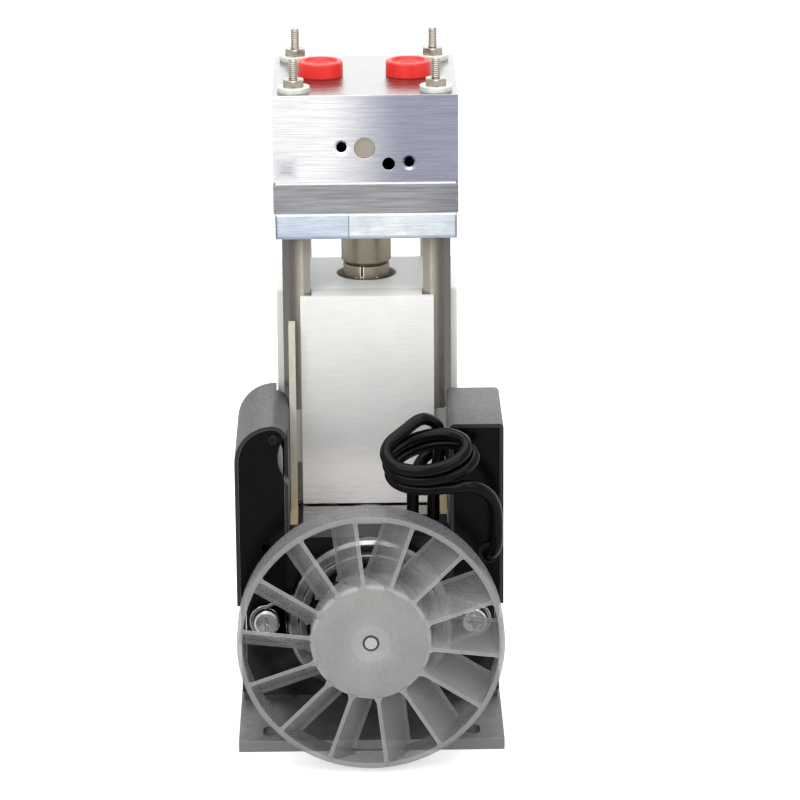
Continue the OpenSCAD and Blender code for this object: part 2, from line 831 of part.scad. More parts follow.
// Posts behind the caps, joined to the sheet
module cap_posts() {
    half = 3;
    front_y = cap_front + cap_t;
    rear_y = rear_cap_y - post_l;
    for (y = [front_y, rear_y])
        block([box_in + 0.5, y, cap_screw_high[1] - half], [cap_screw_high[0] + half, y + post_l, box_top - 0.5]);
    block([cap_screw_low[0] - half, front_y, cap_screw_low[1] - half],
        [box_out - 0.5, front_y + post_l, cap_screw_low[1] + half]);
    block([cap_screw_rear[0] - half, rear_y, cap_screw_rear[1] - half],
        [box_out - 0.5, rear_y + post_l, cap_screw_rear[1] + half]);
}

module side_box(ro, ri) {
    difference() {
        union() {
            box_shell(box_front, box_l, ro, ri);
            intersection() {
                cap_posts();
                upright(box_front, box_l) box_outline(0.5, box_low, ro, ri);
            }
            // Leg and tab on the housing's foot
            block([box_out - sheet_t, leg_back - leg_t, foot_top], [box_out, leg_back, box_low + 20]);
            block([foot_screw_x - 6, leg_back - leg_t, foot_top], [box_out, leg_back, tab_top]);
        }
        // The inner wall stands on the stator stack
        block([box_in - eps, box_front - eps, box_low - eps], [box_in + sheet_t + 0.4, box_back + eps, stack_top]);
        at_cap_screws(cap_front, [cap_screw_high, cap_screw_low]) cylinder(d = cap_screw_d + 2 * fit, h = cap_t + post_l + eps);
        at_cap_screws(rear_cap_y - post_l - eps, [cap_screw_high, cap_screw_rear])
            cylinder(d = cap_screw_d + 2 * fit, h = cap_t + post_l + eps);
        translate([foot_screw_x, foot_screw_front, foot_top - eps]) cylinder(d = small_d + 2 * fit, h = sheet_t + 2 * eps);
    }
}

post_l = 3.7;
rear_cap_y = box_back - cap_set - cap_t;
cap_screw_rear = [box_out - 5, stack_top + rear_screw_rise];
leg_back = foot_front + leg_t - 1;
grommet_d = 8;
neck_d = 6.4;

module bite() {
    on_shaft(box_front - eps, bite_x, bite_z) cylinder(r = bite_r, h = bite_l);
}

module left_side_box() {
    color("darkgray") mirror([1, 0, 0]) difference() {
        union() {
            side_box(shoulder_r, inner_r);
            // The shoulder runs back beside the drive housing
            intersection() {
                box_shell(box_back - eps, hood_l + eps, shoulder_r, inner_r);
                block([body_w / 2 + 0.5, box_back - 2 * eps, box_low - eps],
                    [box_out + eps, box_back + hood_l + eps, box_top + eps]);
            }
        }
        bite();
    }
}

module right_side_box() {
    color("darkgray") difference() {
        side_box(right_r, right_r);
        translate([box_in - eps, straight_end[1], straight_end[2]]) rotate([0, 90, 0])
            cylinder(d = neck_d + 2 * fit, h = sheet_t + 2 * eps);
    }
}

module end_cap(y0, ro, ri, places) {
    difference() {
        upright(y0, cap_t) box_outline(sheet_t + cap_gap, cap_low, ro, ri);
        at_cap_screws(y0 - eps, places) cylinder(d = cap_screw_d + 0.4, h = cap_t + 2 * eps);
    }
}

module left_front_cap() {
    color("black") mirror([1, 0, 0]) difference() {
        end_cap(cap_front, shoulder_r, inner_r, [cap_screw_high, cap_screw_low]);
        bite();
        on_shaft(cap_front - eps, spy_hole[0], spy_hole[1]) cylinder(d = spy_hole_d, h = cap_t + 2 * eps);
    }
}

module left_rear_cap() {
    color("black") mirror([1, 0, 0]) end_cap(rear_cap_y, shoulder_r, inner_r, [cap_screw_high, cap_screw_rear]);
}

module right_front_cap() {
    color("black") difference() {
        end_cap(cap_front, right_r, right_r, [cap_screw_high, cap_screw_low]);
        on_shaft(cap_front - eps, tail_end[0], tail_end[2]) cylinder(d = neck_d + 2 * fit, h = cap_t + 2 * eps);
    }
}

module right_rear_cap() {
    color("black") difference() {
        end_cap(rear_cap_y, right_r, right_r, [cap_screw_high, cap_screw_rear]);
        on_shaft(rear_cap_y - eps, supply_x, supply_z) cylinder(d = supply_hole_d, h = cap_t + 2 * eps);
    }
}

module cap_screws() {
    l = cap_t + post_l - 0.3;
    color("lightgray") both_sides() {
        at_cap_screws(cap_front, [cap_screw_high, cap_screw_low])
            rotate([90, 0, 0]) screw_y(cap_screw_d, l, cap_screw_head_d, 1.2);
        at_cap_screws(box_back - cap_set, [cap_screw_high, cap_screw_rear])
            rotate([-90, 0, 0]) screw_y(cap_screw_d, l, cap_screw_head_d, 1.2);
    }
}

module run_capacitor() {
    x = -(box_in + sheet_t + 0.6 + capacitor_w / 2);
    color("lightslategray") upright(stack_front + 1, stack_l - 6) {
        translate([x, stack_top + capacitor_h - capacitor_w / 2]) circle(d = capacitor_w);
        translate([x - capacitor_w / 2, stack_top]) square([capacitor_w, capacitor_h - capacitor_w / 2]);
    }
}

module terminal_block() {
    color("dimgray") difference() {
        block([box_in + terminal_front, stack_front + terminal_front, stack_top],
            [box_out - terminal_side, stack_back - terminal_back, stack_top + terminal_h]);
        for (i = [0:3])
            translate([box_in + terminal_front + 5.5, stack_front + 2 * terminal_front + i * 5.6, stack_top + terminal_h / 2 + 1])
                cylinder(d = 4, h = terminal_h / 2 + eps);
    }
}

module rounded_square(w, h, r) {
    square([w - 2 * r, h], center = true);
    square([w, h - 2 * r], center = true);
    for (sx = [-1, 1], sz = [-1, 1]) translate([sx * (w / 2 - r), sz * (h / 2 - r)]) circle(r = r);
}

winding_r = (rotor_d / 2 + air_gap + dome_d / 2 - 4.2) / 2;
winding_w = 6;
winding_n = 8;

module stator_stack() {
    color("black") difference() {
        on_shaft(stack_front) linear_extrude(stack_l) rounded_square(stack_w, stack_h, 7);
        on_shaft(stack_front - eps) cylinder(d = rotor_d + 2 * air_gap, h = stack_l + 2 * eps);
        for (k = [0:winding_n - 1]) on_shaft(stack_front - eps)
            rotate([0, 0, (k + 0.5) * 360 / winding_n]) translate([winding_r, 0, 0]) cylinder(d = 5.2, h = stack_l + 2 * eps);
        for (s = [-1, 1]) on_shaft(stack_front - eps, s * screw_pitch / 2) cylinder(d = screw_d + 0.4, h = stack_l + 2 * eps);
    }
}

module stator_windings() {
    end_l = 3.6;
    color("sienna") union() {
        for (y = [stack_front - end_l, stack_back]) on_shaft(y) difference() {
            cylinder(r = winding_r + winding_w / 2, h = end_l);
            translate([0, 0, -eps]) cylinder(r = winding_r - winding_w / 2, h = end_l + 2 * eps);
        }
        for (k = [0:winding_n - 1]) on_shaft(stack_front - 1)
            rotate([0, 0, (k + 0.5) * 360 / winding_n]) translate([winding_r, 0, 0]) cylinder(d = 5, h = stack_l + 2);
    }
}

boss_r = bearing_d / 2 + 2.5;
cavity_r = dome_d / 2 - dome_wall;
shaft_gap = 0.5;

module front_bell() {
    back_y = front_pocket + bearing_w;
    wall_y = dome_front + 2.8;
    color("silver") difference() {
        union() {
            on_shaft(0) rotate_extrude() polygon([
                [shaft_d / 2 + shaft_gap, boss_front], [boss_r - 1, boss_front], [boss_r, boss_front + 1],
                [boss_r, dome_front], [dome_d / 2 - dome_step - bevel, dome_front], [dome_d / 2 - dome_step, dome_front + 1.2],
                [dome_d / 2 - 1.5, dome_front + 1.2], [dome_d / 2, dome_front + 2.8], [dome_d / 2, stack_front],
                [cavity_r, stack_front], [cavity_r, wall_y], [boss_r, wall_y], [boss_r, back_y],
                [bearing_d / 2 + fit, back_y], [bearing_d / 2 + fit, front_pocket],
                [shaft_d / 2 + shaft_gap, front_pocket]
            ]);
            difference() {
                upright(arm_front, arm_t) translate([0, axis_h]) {
                    square([screw_pitch, 2 * arm_r - bevel], center = true);
                    for (s = [-1, 1]) translate([s * screw_pitch / 2, 0]) circle(r = arm_r);
                }
                on_shaft(arm_front - eps) cylinder(r = cavity_r + 1, h = arm_t + 2 * eps);
            }
        }
        for (s = [-1, 1]) on_shaft(arm_front - eps, s * screw_pitch / 2) cylinder(d = screw_d + 0.4, h = arm_t + 2 * eps);
    }
}

module rear_bell() {
    flange_y = body_front - 3.3;
    color("silver") difference() {
        union() {
            on_shaft(stack_back) cylinder(d = dome_d, h = rear_bell_l);
            on_shaft(flange_y) linear_extrude(3.3) rounded_square(2 * bell_hole + 10, 2 * bell_hole + 10, 5);
            for (s = [-1, 1]) on_shaft(stack_back, s * screw_pitch / 2) cylinder(r = 6.4, h = rear_bell_l - 1);
            upright(stack_back, rear_bell_l - 1) translate([0, axis_h]) square([screw_pitch, 11], center = true);
            on_shaft(body_front - 1) cylinder(d = bearing_d + 6, h = wall + 0.5);
        }
        difference() {
            on_shaft(stack_back - eps) cylinder(r = cavity_r, h = rear_bell_l - 3.3 + eps);
            on_shaft(rear_pocket - 1) cylinder(r = boss_r, h = rear_bell_l);
        }
        on_shaft(rear_pocket - 2) cylinder(d = bearing_d + 2 * fit, h = bearing_w + 2);
        on_shaft(rear_pocket) cylinder(d = shaft_d + 2 * shaft_gap, h = 20);
        for (s = [-1, 1]) on_shaft(stack_back - eps, s * screw_pitch / 2) cylinder(d = screw_d + 2 * fit, h = 11);
        for (sx = [-1, 1], sz = [-1, 1]) on_shaft(stack_back - eps, sx * bell_hole, axis_h + sz * bell_hole) {
            cylinder(d = small_d + 2 * fit, h = rear_bell_l + 2 * eps);
            cylinder(d = small_head_d + 1, h = rear_bell_l - 3.3 + eps);
        }
    }
}

module motor_screws() {
    for (s = [-1, 1]) color("gainsboro") translate([s * screw_pitch / 2, arm_front, axis_h])
        screw_y(screw_d, arm_t + stack_l + 10, screw_head_d, 3);
}

module rear_bell_screws() {
    color("lightgray") for (sx = [-1, 1], sz = [-1, 1])
        translate([sx * bell_hole, body_front - 3.3, axis_h + sz * bell_hole])
            screw_y(small_d, 3.3 + wall, small_head_d, small_head_h);
}

module motor_bearings() {
    color("gainsboro") for (y = [front_pocket, rear_pocket]) on_shaft(y) difference() {
        cylinder(d = bearing_d, h = bearing_w);
        translate([0, 0, -eps]) cylinder(d = shaft_d + 2 * run, h = bearing_w + 2 * eps);
        for (z = [-eps, bearing_w - 0.6]) translate([0, 0, z]) difference() {
            cylinder(d = bearing_d - 3, h = eps + 0.6);
            cylinder(d = shaft_d + 4, h = eps + 0.6);
        }
    }
}

module motor_shaft() {
    color("gainsboro") {
        on_shaft(hub_front - 0.3) cylinder(d = nose_d, h = shaft_step - hub_front + 0.8);
        on_shaft(shaft_step) cylinder(d = shaft_d, h = shaft_back - shaft_step);
    }
}

module rotor_core() {
    color("gray") on_shaft(stack_front + 3) difference() {
        cylinder(d = rotor_d, h = stack_l - 6);
        translate([0, 0, -eps]) cylinder(d = shaft_d + 2 * fit, h = stack_l);
    }
}

hub_front = fan_front + hub_set;

module fan_blades() {
    first = 19.3;
    inset = 0.4;
    axial = fan_l - 2 * inset;
    on_shaft(fan_front + inset) intersection() {
        for (k = [0:blade_n - 1]) rotate([0, 0, -first - k * 360 / blade_n]) rotate([blade_tilt, 0, 0])
            translate([hub_d / 3, -blade_t / 2, -2]) cube([fan_d / 2 - hub_d / 3, blade_t, axial / cos(blade_tilt) + 4]);
        difference() {
            cylinder(d = fan_d - fan_wall, h = axial);
            translate([0, 0, -eps]) cylinder(d = hub_d - hub_wall, h = axial + 2 * eps);
        }
    }
}

module cooling_fan() {
    color("lavender") difference() {
        union() {
            on_shaft(fan_front) difference() {
                cylinder(d = fan_d, h = fan_l);
                translate([0, 0, -eps]) cylinder(d = fan_d - 2 * fan_wall, h = fan_l + 2 * eps);
            }
            on_shaft(hub_front) difference() {
                cylinder(d = hub_d, h = fan_back - hub_front);
                translate([0, 0, hub_wall]) cylinder(d = hub_d - 2 * hub_wall, h = fan_l);
            }
            on_shaft(hub_front) cylinder(d = nose_d + 9, h = shaft_step - hub_front);
            on_shaft(hub_front - 1) cylinder(d = 20, h = 1 + eps);
            fan_blades();
        }
        on_shaft(hub_front - 2) cylinder(d = 16, h = 2);
        on_shaft(hub_front - 2) cylinder(d = nose_d + 2 * fit, h = shaft_step - hub_front + 4);
    }
}

module eccentric() {
    color("lightsteelblue") difference() {
        on_shaft(crank_y - eccentric_l / 2, 0, axis_h + throw) cylinder(d = eccentric_d, h = eccentric_l);
        on_shaft(crank_y - eccentric_l) cylinder(d = shaft_d + 2 * fit, h = 2 * eccentric_l);
    }
}

module counterweight() {
    color("gray") difference() {
        on_shaft(crank_y + eccentric_l / 2) union() {
            cylinder(d = 16, h = weight_t);
            difference() {
                cylinder(r = weight_r, h = weight_t);
                translate([-weight_r - eps, -2 * weight_r - 2, -eps]) cube([2 * weight_r + 2 * eps, 2 * weight_r, weight_t + 2 * eps]);
            }
        }
        on_shaft(crank_y) cylinder(d = shaft_d + 2 * fit, h = eccentric_l + 2 * weight_t);
    }
}

module crank_bearing() {
    color("gainsboro") on_shaft(crank_y - rod_t / 2, 0, axis_h + throw) difference() {
        cylinder(d = crank_bearing_d, h = rod_t);
        translate([0, 0, -eps]) cylinder(d = eccentric_d + 2 * run, h = rod_t + 2 * eps);
    }
}

module connecting_rod() {
    eye_z = axis_h + throw;
    shank_top = collar_z - 18;
    color("silver") difference() {
        union() {
            on_shaft(crank_y - rod_t / 2, 0, eye_z) cylinder(d = crank_bearing_d + 2 * eye_wall, h = rod_t);
            block([-shank_w / 2, crank_y - rod_t / 2, eye_z + crank_bearing_d / 2 + 1], [shank_w / 2, crank_y + rod_t / 2, shank_top]);
            translate([0, crank_y, shank_top - eps]) cylinder(d = stem_d, h = stem_top - shank_top + eps);
        }
        on_shaft(crank_y - rod_t, 0, eye_z) cylinder(d = crank_bearing_d + 2 * fit, h = 2 * rod_t);
    }
}

// End plate of the bellows with the cup and the sleeve that takes the rod's stem
module bellows_cup() {
    color("silver") translate([0, crank_y, 0]) difference() {
        rotate_extrude() polygon([
            [0, collar_z], [sleeve_d / 2, collar_z], [sleeve_d / 2, cup_z], [cup_d / 2 - 1.5, cup_z],
            [cup_d / 2, cup_z + 1.5], [cup_d / 2, disc_z], [bellows_d / 2, disc_z],
            [bellows_d / 2, bellows_z], [0, bellows_z]
        ]);
        translate([0, 0, collar_z - eps]) cylinder(d = stem_d + 2 * fit, h = stem_top - collar_z + eps + 0.4);
    }
}

collar_screw_y = -(sleeve_d + collar_d) / 4;

module clamp_collar() {
    color("silver") translate([0, crank_y, collar_z]) difference() {
        cylinder(d = collar_d, h = collar_h);
        translate([0, 0, -eps]) cylinder(d = sleeve_d + 2 * fit, h = collar_h + 2 * eps);
        translate([slit_x - slit_w / 2, -collar_d, -eps]) cube([slit_w, collar_d, collar_h + 2 * eps]);
        translate([-collar_d, collar_screw_y, collar_h / 2]) rotate([0, 90, 0]) cylinder(d = 1.6 + 2 * fit, h = 2 * collar_d);
    }
}

module collar_screw() {
    l = 9;
    color("lightgray") translate([-l / 2, crank_y + collar_screw_y, collar_z + collar_h / 2]) rotate([0, 90, 0]) cylinder(d = 1.6, h = l);
}

module lead_outlet() {
    color("black") block([straight_x - 5.5, outlet_y - 5, stack_top], [rise_x + 5.5, outlet_y + 5, lead_z]);
}

module grommet() {
    translate([0, 0, -grommet_t]) cylinder(d = grommet_d, h = grommet_t);
    cylinder(d = neck_d, h = cap_t + 0.5);
}

module box_grommets() {
    color("black") {
        on_shaft(cap_front, tail_end[0], tail_end[2]) grommet();
        translate([box_in, straight_end[1], straight_end[2]]) rotate([0, 90, 0]) grommet();
    }
}

module coiled_lead_rise() {
    color("black") tube(rise_path, lead_r, 12);
}

module coiled_lead_loop() {
    color("black") tube(loop_route, lead_r, 8);
}

module coiled_lead_tail() {
    color("black") tube(tail_path, lead_r, 12);
}

module straight_lead() {
    color("black") tube(straight_route, lead_r, 12);
}

base_plate();
drive_housing();
housing_screws();
rear_cover();
rear_cover_screws();
front_cover();
front_cover_screws();
left_insulating_board();
right_insulating_board();
standoffs();
clamp_plate_left();
clamp_plate_right();
lower_gasket();
bellows_plate();
bellows_flange();
bellows();
upper_gasket();
valve_block();
studs();
stud_nuts();
stud_washers();
inlet_valve_disc();
inlet_valve_retainer();
outlet_valve_disc();
outlet_valve_retainer();
gallery_plug();
inlet_port_plug();
outlet_port_plug();
left_side_box();
left_front_cap();
left_rear_cap();
run_capacitor();
right_side_box();
right_front_cap();
right_rear_cap();
terminal_block();
cap_screws();
stator_stack();
stator_windings();
front_bell();
rear_bell();
motor_screws();
rear_bell_screws();
motor_bearings();
motor_shaft();
rotor_core();
cooling_fan();
eccentric();
counterweight();
crank_bearing();
connecting_rod();
clamp_collar();
collar_screw();
bellows_cup();
lead_outlet();
box_grommets();
coiled_lead_rise();
coiled_lead_loop();
coiled_lead_tail();
straight_lead();
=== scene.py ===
# Looks of a motor driven bellows pump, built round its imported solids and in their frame. Blender works in
# metres, and the settings here are in millimetres, apart from the lights and the stage.
import json
import math

import bmesh
import bpy
from mathutils import Matrix, Vector


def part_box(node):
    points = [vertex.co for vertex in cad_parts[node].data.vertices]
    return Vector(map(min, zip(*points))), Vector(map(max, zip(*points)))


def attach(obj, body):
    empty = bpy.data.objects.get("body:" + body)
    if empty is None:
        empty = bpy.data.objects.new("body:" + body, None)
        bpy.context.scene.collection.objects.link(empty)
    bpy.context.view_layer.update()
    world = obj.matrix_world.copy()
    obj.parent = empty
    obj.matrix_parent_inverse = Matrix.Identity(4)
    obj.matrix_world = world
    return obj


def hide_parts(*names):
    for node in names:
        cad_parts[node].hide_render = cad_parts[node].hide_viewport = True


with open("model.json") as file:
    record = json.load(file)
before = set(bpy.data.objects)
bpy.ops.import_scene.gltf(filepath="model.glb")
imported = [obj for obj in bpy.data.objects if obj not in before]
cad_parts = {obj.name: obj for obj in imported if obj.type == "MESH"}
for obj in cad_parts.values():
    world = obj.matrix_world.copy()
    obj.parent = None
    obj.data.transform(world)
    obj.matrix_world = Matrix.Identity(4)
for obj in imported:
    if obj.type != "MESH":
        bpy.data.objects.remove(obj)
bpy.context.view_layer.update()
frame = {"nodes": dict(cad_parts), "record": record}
nodes = frame["nodes"]
world = bpy.context.scene
mm = 0.001
shaftHeight = 53.8  # of the shaft's axis, above the foot of the base
print("stage: frame loaded")


# Camera
view = {
    "place": (-4.02, -1420.97, 568.582),
    "pitch": 17.29,
    "yaw": 0.681,
    "roll": -0.442,
    "lens": 167.29,
    "sensor": 36.0,
    "clip": (0.1, 20),
}


def makeCamera(look):
    pitch, yaw, roll = (math.radians(look[key]) for key in ("pitch", "yaw", "roll"))
    ahead = Vector((math.sin(yaw) * math.cos(pitch), math.cos(yaw) * math.cos(pitch), -math.sin(pitch)))
    right = Vector((math.cos(yaw), -math.sin(yaw), 0))
    up = right.cross(ahead)
    across = right * math.cos(roll) + up * math.sin(roll)
    upward = up * math.cos(roll) - right * math.sin(roll)
    lens = bpy.data.cameras.new("camera")
    lens.lens = look["lens"]
    lens.sensor_width = look["sensor"]
    lens.clip_start, lens.clip_end = look["clip"]
    camera = bpy.data.objects.new("camera", lens)
    turn = Matrix((across, upward, -ahead)).transposed().to_4x4()
    camera.matrix_world = Matrix.Translation(Vector(look["place"]) * mm) @ turn
    world.collection.objects.link(camera)
    world.camera = camera


makeCamera(view)


# Motor leads, on the routes of the solids
leads = {
    "diameter": 4.8,
    "exitHeight": 92,
    "exitDepth": -46,
    "riseSide": 25,
    "straightSide": 17,
    "coilSteps": 24,
    "easing": 0.4,
}
riseRoute = [
    (leads["riseSide"], leads["exitDepth"], leads["exitHeight"]),
    (leads["riseSide"], leads["exitDepth"], leads["exitHeight"] + 6),
    (25.3, -46.4, 105),
    (26.2, -47.4, 112),
    (27.1, -49.2, 118.6),
    (27.6, -51.8, 124.8),
    (27.2, -54.8, 130.4),
    (25.6, -57.9, 134.8),
    (23, -60.8, 137.2),
    (19.8, -63.2, 138),
]
tailEnd = (46, -59.8, 82)
tailRoute = [
    (35.6, -78.2, 115.8),
    (40, -77, 115.2),
    (43.8, -75, 112.8),
    (46.9, -72.4, 108.6),
    (48.6, -70, 103),
    (49, -68.4, 96.8),
    (49, -67.6, 92),
    (48.8, -66.6, 88),
    (47.9, -64.9, 84.7),
    (46.7, -63, 82.7),
    (tailEnd[0], tailEnd[1] - 1.4, tailEnd[2]),
    tailEnd,
]
straightRoute = [
    (leads["straightSide"], leads["exitDepth"], leads["exitHeight"]),
    (leads["straightSide"], leads["exitDepth"], leads["exitHeight"] + 6),
    (17.2, -45.4, 104.4),
    (18.6, -43.6, 110.6),
    (21.6, -41.4, 115.4),
    (25.4, -40.2, 117.6),
    (27.8, -40, 118),
    (30, -40, 118),
]
loop = {
    "centre": (20.8, -71.7, 125.3),
    "wide": 14.6,
    "high": 10.2,
    "lean": 60,
    "roll": 8,
    "start": 130,
    "sweep": 860,
    "pitch": 5.3,
    "shift": 4.6,
    "grow": 2.6,
}


def loopPoint(swept):
    turn = math.radians(loop["start"] + swept)
    done = swept / loop["sweep"]
    lean, roll = math.radians(loop["lean"]), math.radians(loop["roll"])
    across = Vector((math.cos(roll), 0, math.sin(roll)))
    along = Vector((0, math.sin(lean), math.cos(lean)))
    up = Vector((0, -math.cos(lean), math.sin(lean)))
    centre = Vector(loop["centre"]) + Vector((loop["shift"] * done, 0, 0))
    wide = (loop["wide"] + loop["grow"] * done) * math.cos(turn) * across
    rise = loop["pitch"] * (loop["sweep"] / 2 - swept) / 360 * up
    return centre + wide + loop["high"] * math.sin(turn) * along + rise


def coiledRoute():
    steps = math.ceil(leads["coilSteps"] * loop["sweep"] / 360)
    path = [loopPoint(loop["sweep"] * i / steps) for i in range(steps + 1)]
    start = path[0] + leads["diameter"] * (path[0] - path[1]).normalized()
    end = path[-1] + leads["diameter"] * (path[-1] - path[-2]).normalized()
    before = start + leads["easing"] * (start - path[0])
    after = end + leads["easing"] * (end - path[-1])
    return [*map(Vector, riseRoute), before, start, *path, end, after, *map(Vector, tailRoute)]


def routeLength(route):
    return sum((Vector(b) - Vector(a)).length for a, b in zip(route, route[1:])) * mm


def makeLead(name, route):
    line = bpy.data.curves.new(name, "CURVE")
    line.dimensions = "3D"
    line.bevel_depth = 1  # the points' own radius then sets the thickness, and the bounds stay tight
    line.bevel_resolution = 6
    line.resolution_u = 3
    line.use_fill_caps = True
    spline = line.splines.new("BEZIER")
    spline.bezier_points.add(len(route) - 1)
    for point, place in zip(spline.bezier_points, route):
        point.co = Vector(place) * mm
        point.radius = leads["diameter"] / 2 * mm
        point.handle_left_type = point.handle_right_type = "AUTO"
    piece = bpy.data.objects.new(name, line)
    world.collection.objects.link(piece)
    return piece


coiledLead = makeLead("coiledLead", coiledRoute())
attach(coiledLead, "pump")
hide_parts("coiled_lead_rise", "coiled_lead_loop", "coiled_lead_tail")
straightLead = makeLead("straightLead", straightRoute)
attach(straightLead, "pump")
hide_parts("straight_lead")
lengths = [round(routeLength(route), 4) for route in (coiledRoute(), straightRoute)]
print("stage: camera and leads", *lengths)


# Colours are given as display values from 0 to 255
def tone(red, green, blue):
    shares = (red / 255, green / 255, blue / 255)
    return tuple(c / 12.92 if c <= 0.04045 else ((c + 0.055) / 1.055) ** 2.4 for c in shares) + (1,)


# Shader nodes
def newGroup(name, inputs, outputs):
    tree = bpy.data.node_groups.new(name, "ShaderNodeTree")
    for label, kind, value in inputs:
        socket = tree.interface.new_socket(name=label, in_out="INPUT", socket_type=kind)
        if value is not None:
            socket.default_value = value
    for label, kind in outputs:
        tree.interface.new_socket(name=label, in_out="OUTPUT", socket_type=kind)
    return tree, tree.nodes.new("NodeGroupInput"), tree.nodes.new("NodeGroupOutput")


# A link's key is an input's name, or i and its index
def add(tree, kind, settings=None, **links):
    node = tree.nodes.new(kind)
    for key, value in (settings or {}).items():
        setattr(node, key, value)
    for key, value in links.items():
        socket = node.inputs[int(key[1:])] if key[0] == "i" and key[1:].isdigit() else node.inputs[key]
        if isinstance(value, bpy.types.NodeSocket):
            tree.links.new(value, socket)
        else:
            socket.default_value = value
    return node


def maths(tree, operation, first, second=0.0, clamp=False):
    settings = {"operation": operation, "use_clamp": clamp}
    return add(tree, "ShaderNodeMath", settings, i0=first, i1=second).outputs[0]


def vectorMaths(tree, operation, first, second):
    return add(tree, "ShaderNodeVectorMath", {"operation": operation}, i0=first, i1=second).outputs[0]


def inMillimetres(tree, vector):
    return add(tree, "ShaderNodeVectorMath", {"operation": "SCALE"}, i0=vector, Scale=1 / mm).outputs[0]


# How far two directions agree, from -1 to 1
def agreement(tree, first, second):
    node = add(tree, "ShaderNodeVectorMath", {"operation": "DOT_PRODUCT"}, i0=first, i1=second)
    return node.outputs["Value"]


def noise(tree, vector, scale, detail, rough=0.5):
    node = add(tree, "ShaderNodeTexNoise", Vector=vector, Scale=scale, Detail=detail, Roughness=rough)
    return node.outputs[0]


def ramp(tree, value, low, high, toLow=0.0, toHigh=1.0):
    node = add(tree, "ShaderNodeMapRange", {"interpolation_type": "SMOOTHSTEP"})
    tree.links.new(value, node.inputs["Value"])
    for label, number in (("From Min", low), ("From Max", high), ("To Min", toLow), ("To Max", toHigh)):
        node.inputs[label].default_value = number
    return node.outputs["Result"]


def blendColour(tree, factor, first, second, mode="MIX"):
    node = tree.nodes.new("ShaderNodeMix")
    node.data_type = "RGBA"
    node.blend_type = mode
    for index, value in ((0, factor), (6, first), (7, second)):
        if isinstance(value, bpy.types.NodeSocket):
            tree.links.new(value, node.inputs[index])
        else:
            node.inputs[index].default_value = value
    return node.outputs[2]


# Shared effects: a noise has its scale, unless a material sets it, then its detail and roughness. A ramp has
# its two ends.
effectLook = {
    "fineNoise": (5.0, 0.65),
    "fineRamp": (0.28, 0.72),
    "broadNoise": (4.0, 0.6),
    "broadRamp": (0.3, 0.7),
    "bevelSamples": 6,
    "cornerRamp": (0.02, 0.2),
    "chipNoise": (420.0, 4.0),
    "chipRamp": (0.35, 0.6),
    "dustNoise": (180.0, 6.0, 0.7),
    "dustRamp": (0.35, 0.75),
    "upRamp": (0.1, 0.95),
    "facingRamp": (0.35, 0.75),
}


# Grain: fine lines or specks, and broad cloudy patches
def grainGroup():
    tree, given, made = newGroup(
        "grain",
        [
            ("Vector", "NodeSocketVector", None),
            ("Stretch", "NodeSocketVector", (1, 1, 1)),
            ("Fineness", "NodeSocketFloat", 2.0),
            ("Patches", "NodeSocketFloat", 0.06),
        ],
        [("Fine", "NodeSocketFloat"), ("Broad", "NodeSocketFloat")],
    )
    scaled = inMillimetres(tree, given.outputs["Vector"])
    drawn = vectorMaths(tree, "MULTIPLY", scaled, given.outputs["Stretch"])
    fine = noise(tree, drawn, given.outputs["Fineness"], *effectLook["fineNoise"])
    broad = noise(tree, scaled, given.outputs["Patches"], *effectLook["broadNoise"])
    tree.links.new(ramp(tree, fine, *effectLook["fineRamp"]), made.inputs["Fine"])
    tree.links.new(ramp(tree, broad, *effectLook["broadRamp"]), made.inputs["Broad"])
    return tree


# Edges: a rounded normal, a mask of worn corners and a plain mask of all corners, which carries painted edge
# highlights
def edgeGroup():
    tree, given, made = newGroup(
        "edges",
        [
            ("Vector", "NodeSocketVector", None),
            ("Radius", "NodeSocketFloat", 0.0003),
            ("Wear", "NodeSocketFloat", 0.5),
        ],
        [("Normal", "NodeSocketVector"), ("Mask", "NodeSocketFloat"), ("Corner", "NodeSocketFloat")],
    )
    settings = {"samples": effectLook["bevelSamples"]}
    bevel = add(tree, "ShaderNodeBevel", settings, Radius=given.outputs["Radius"])
    flat = tree.nodes.new("ShaderNodeNewGeometry")
    match = agreement(tree, bevel.outputs[0], flat.outputs["Normal"])
    corner = ramp(tree, maths(tree, "SUBTRACT", 1.0, match), *effectLook["cornerRamp"])
    chips = noise(tree, given.outputs["Vector"], *effectLook["chipNoise"])
    broken = maths(tree, "MULTIPLY", corner, ramp(tree, chips, *effectLook["chipRamp"]))
    tree.links.new(bevel.outputs[0], made.inputs["Normal"])
    tree.links.new(maths(tree, "MULTIPLY", broken, given.outputs["Wear"], True), made.inputs["Mask"])
    tree.links.new(corner, made.inputs["Corner"])
    return tree


# Dust: a mask that gathers on faces that look up
def dustGroup():
    tree, given, made = newGroup(
        "dust",
        [("Vector", "NodeSocketVector", None), ("Amount", "NodeSocketFloat", 0.3)],
        [("Mask", "NodeSocketFloat")],
    )
    flat = tree.nodes.new("ShaderNodeNewGeometry")
    parts = add(tree, "ShaderNodeSeparateXYZ", i0=flat.outputs["True Normal"])
    upward = ramp(tree, parts.outputs["Z"], *effectLook["upRamp"])
    cloud = noise(tree, given.outputs["Vector"], *effectLook["dustNoise"])
    mask = maths(tree, "MULTIPLY", upward, ramp(tree, cloud, *effectLook["dustRamp"]))
    tree.links.new(maths(tree, "MULTIPLY", mask, given.outputs["Amount"], True), made.inputs["Mask"])
    return tree


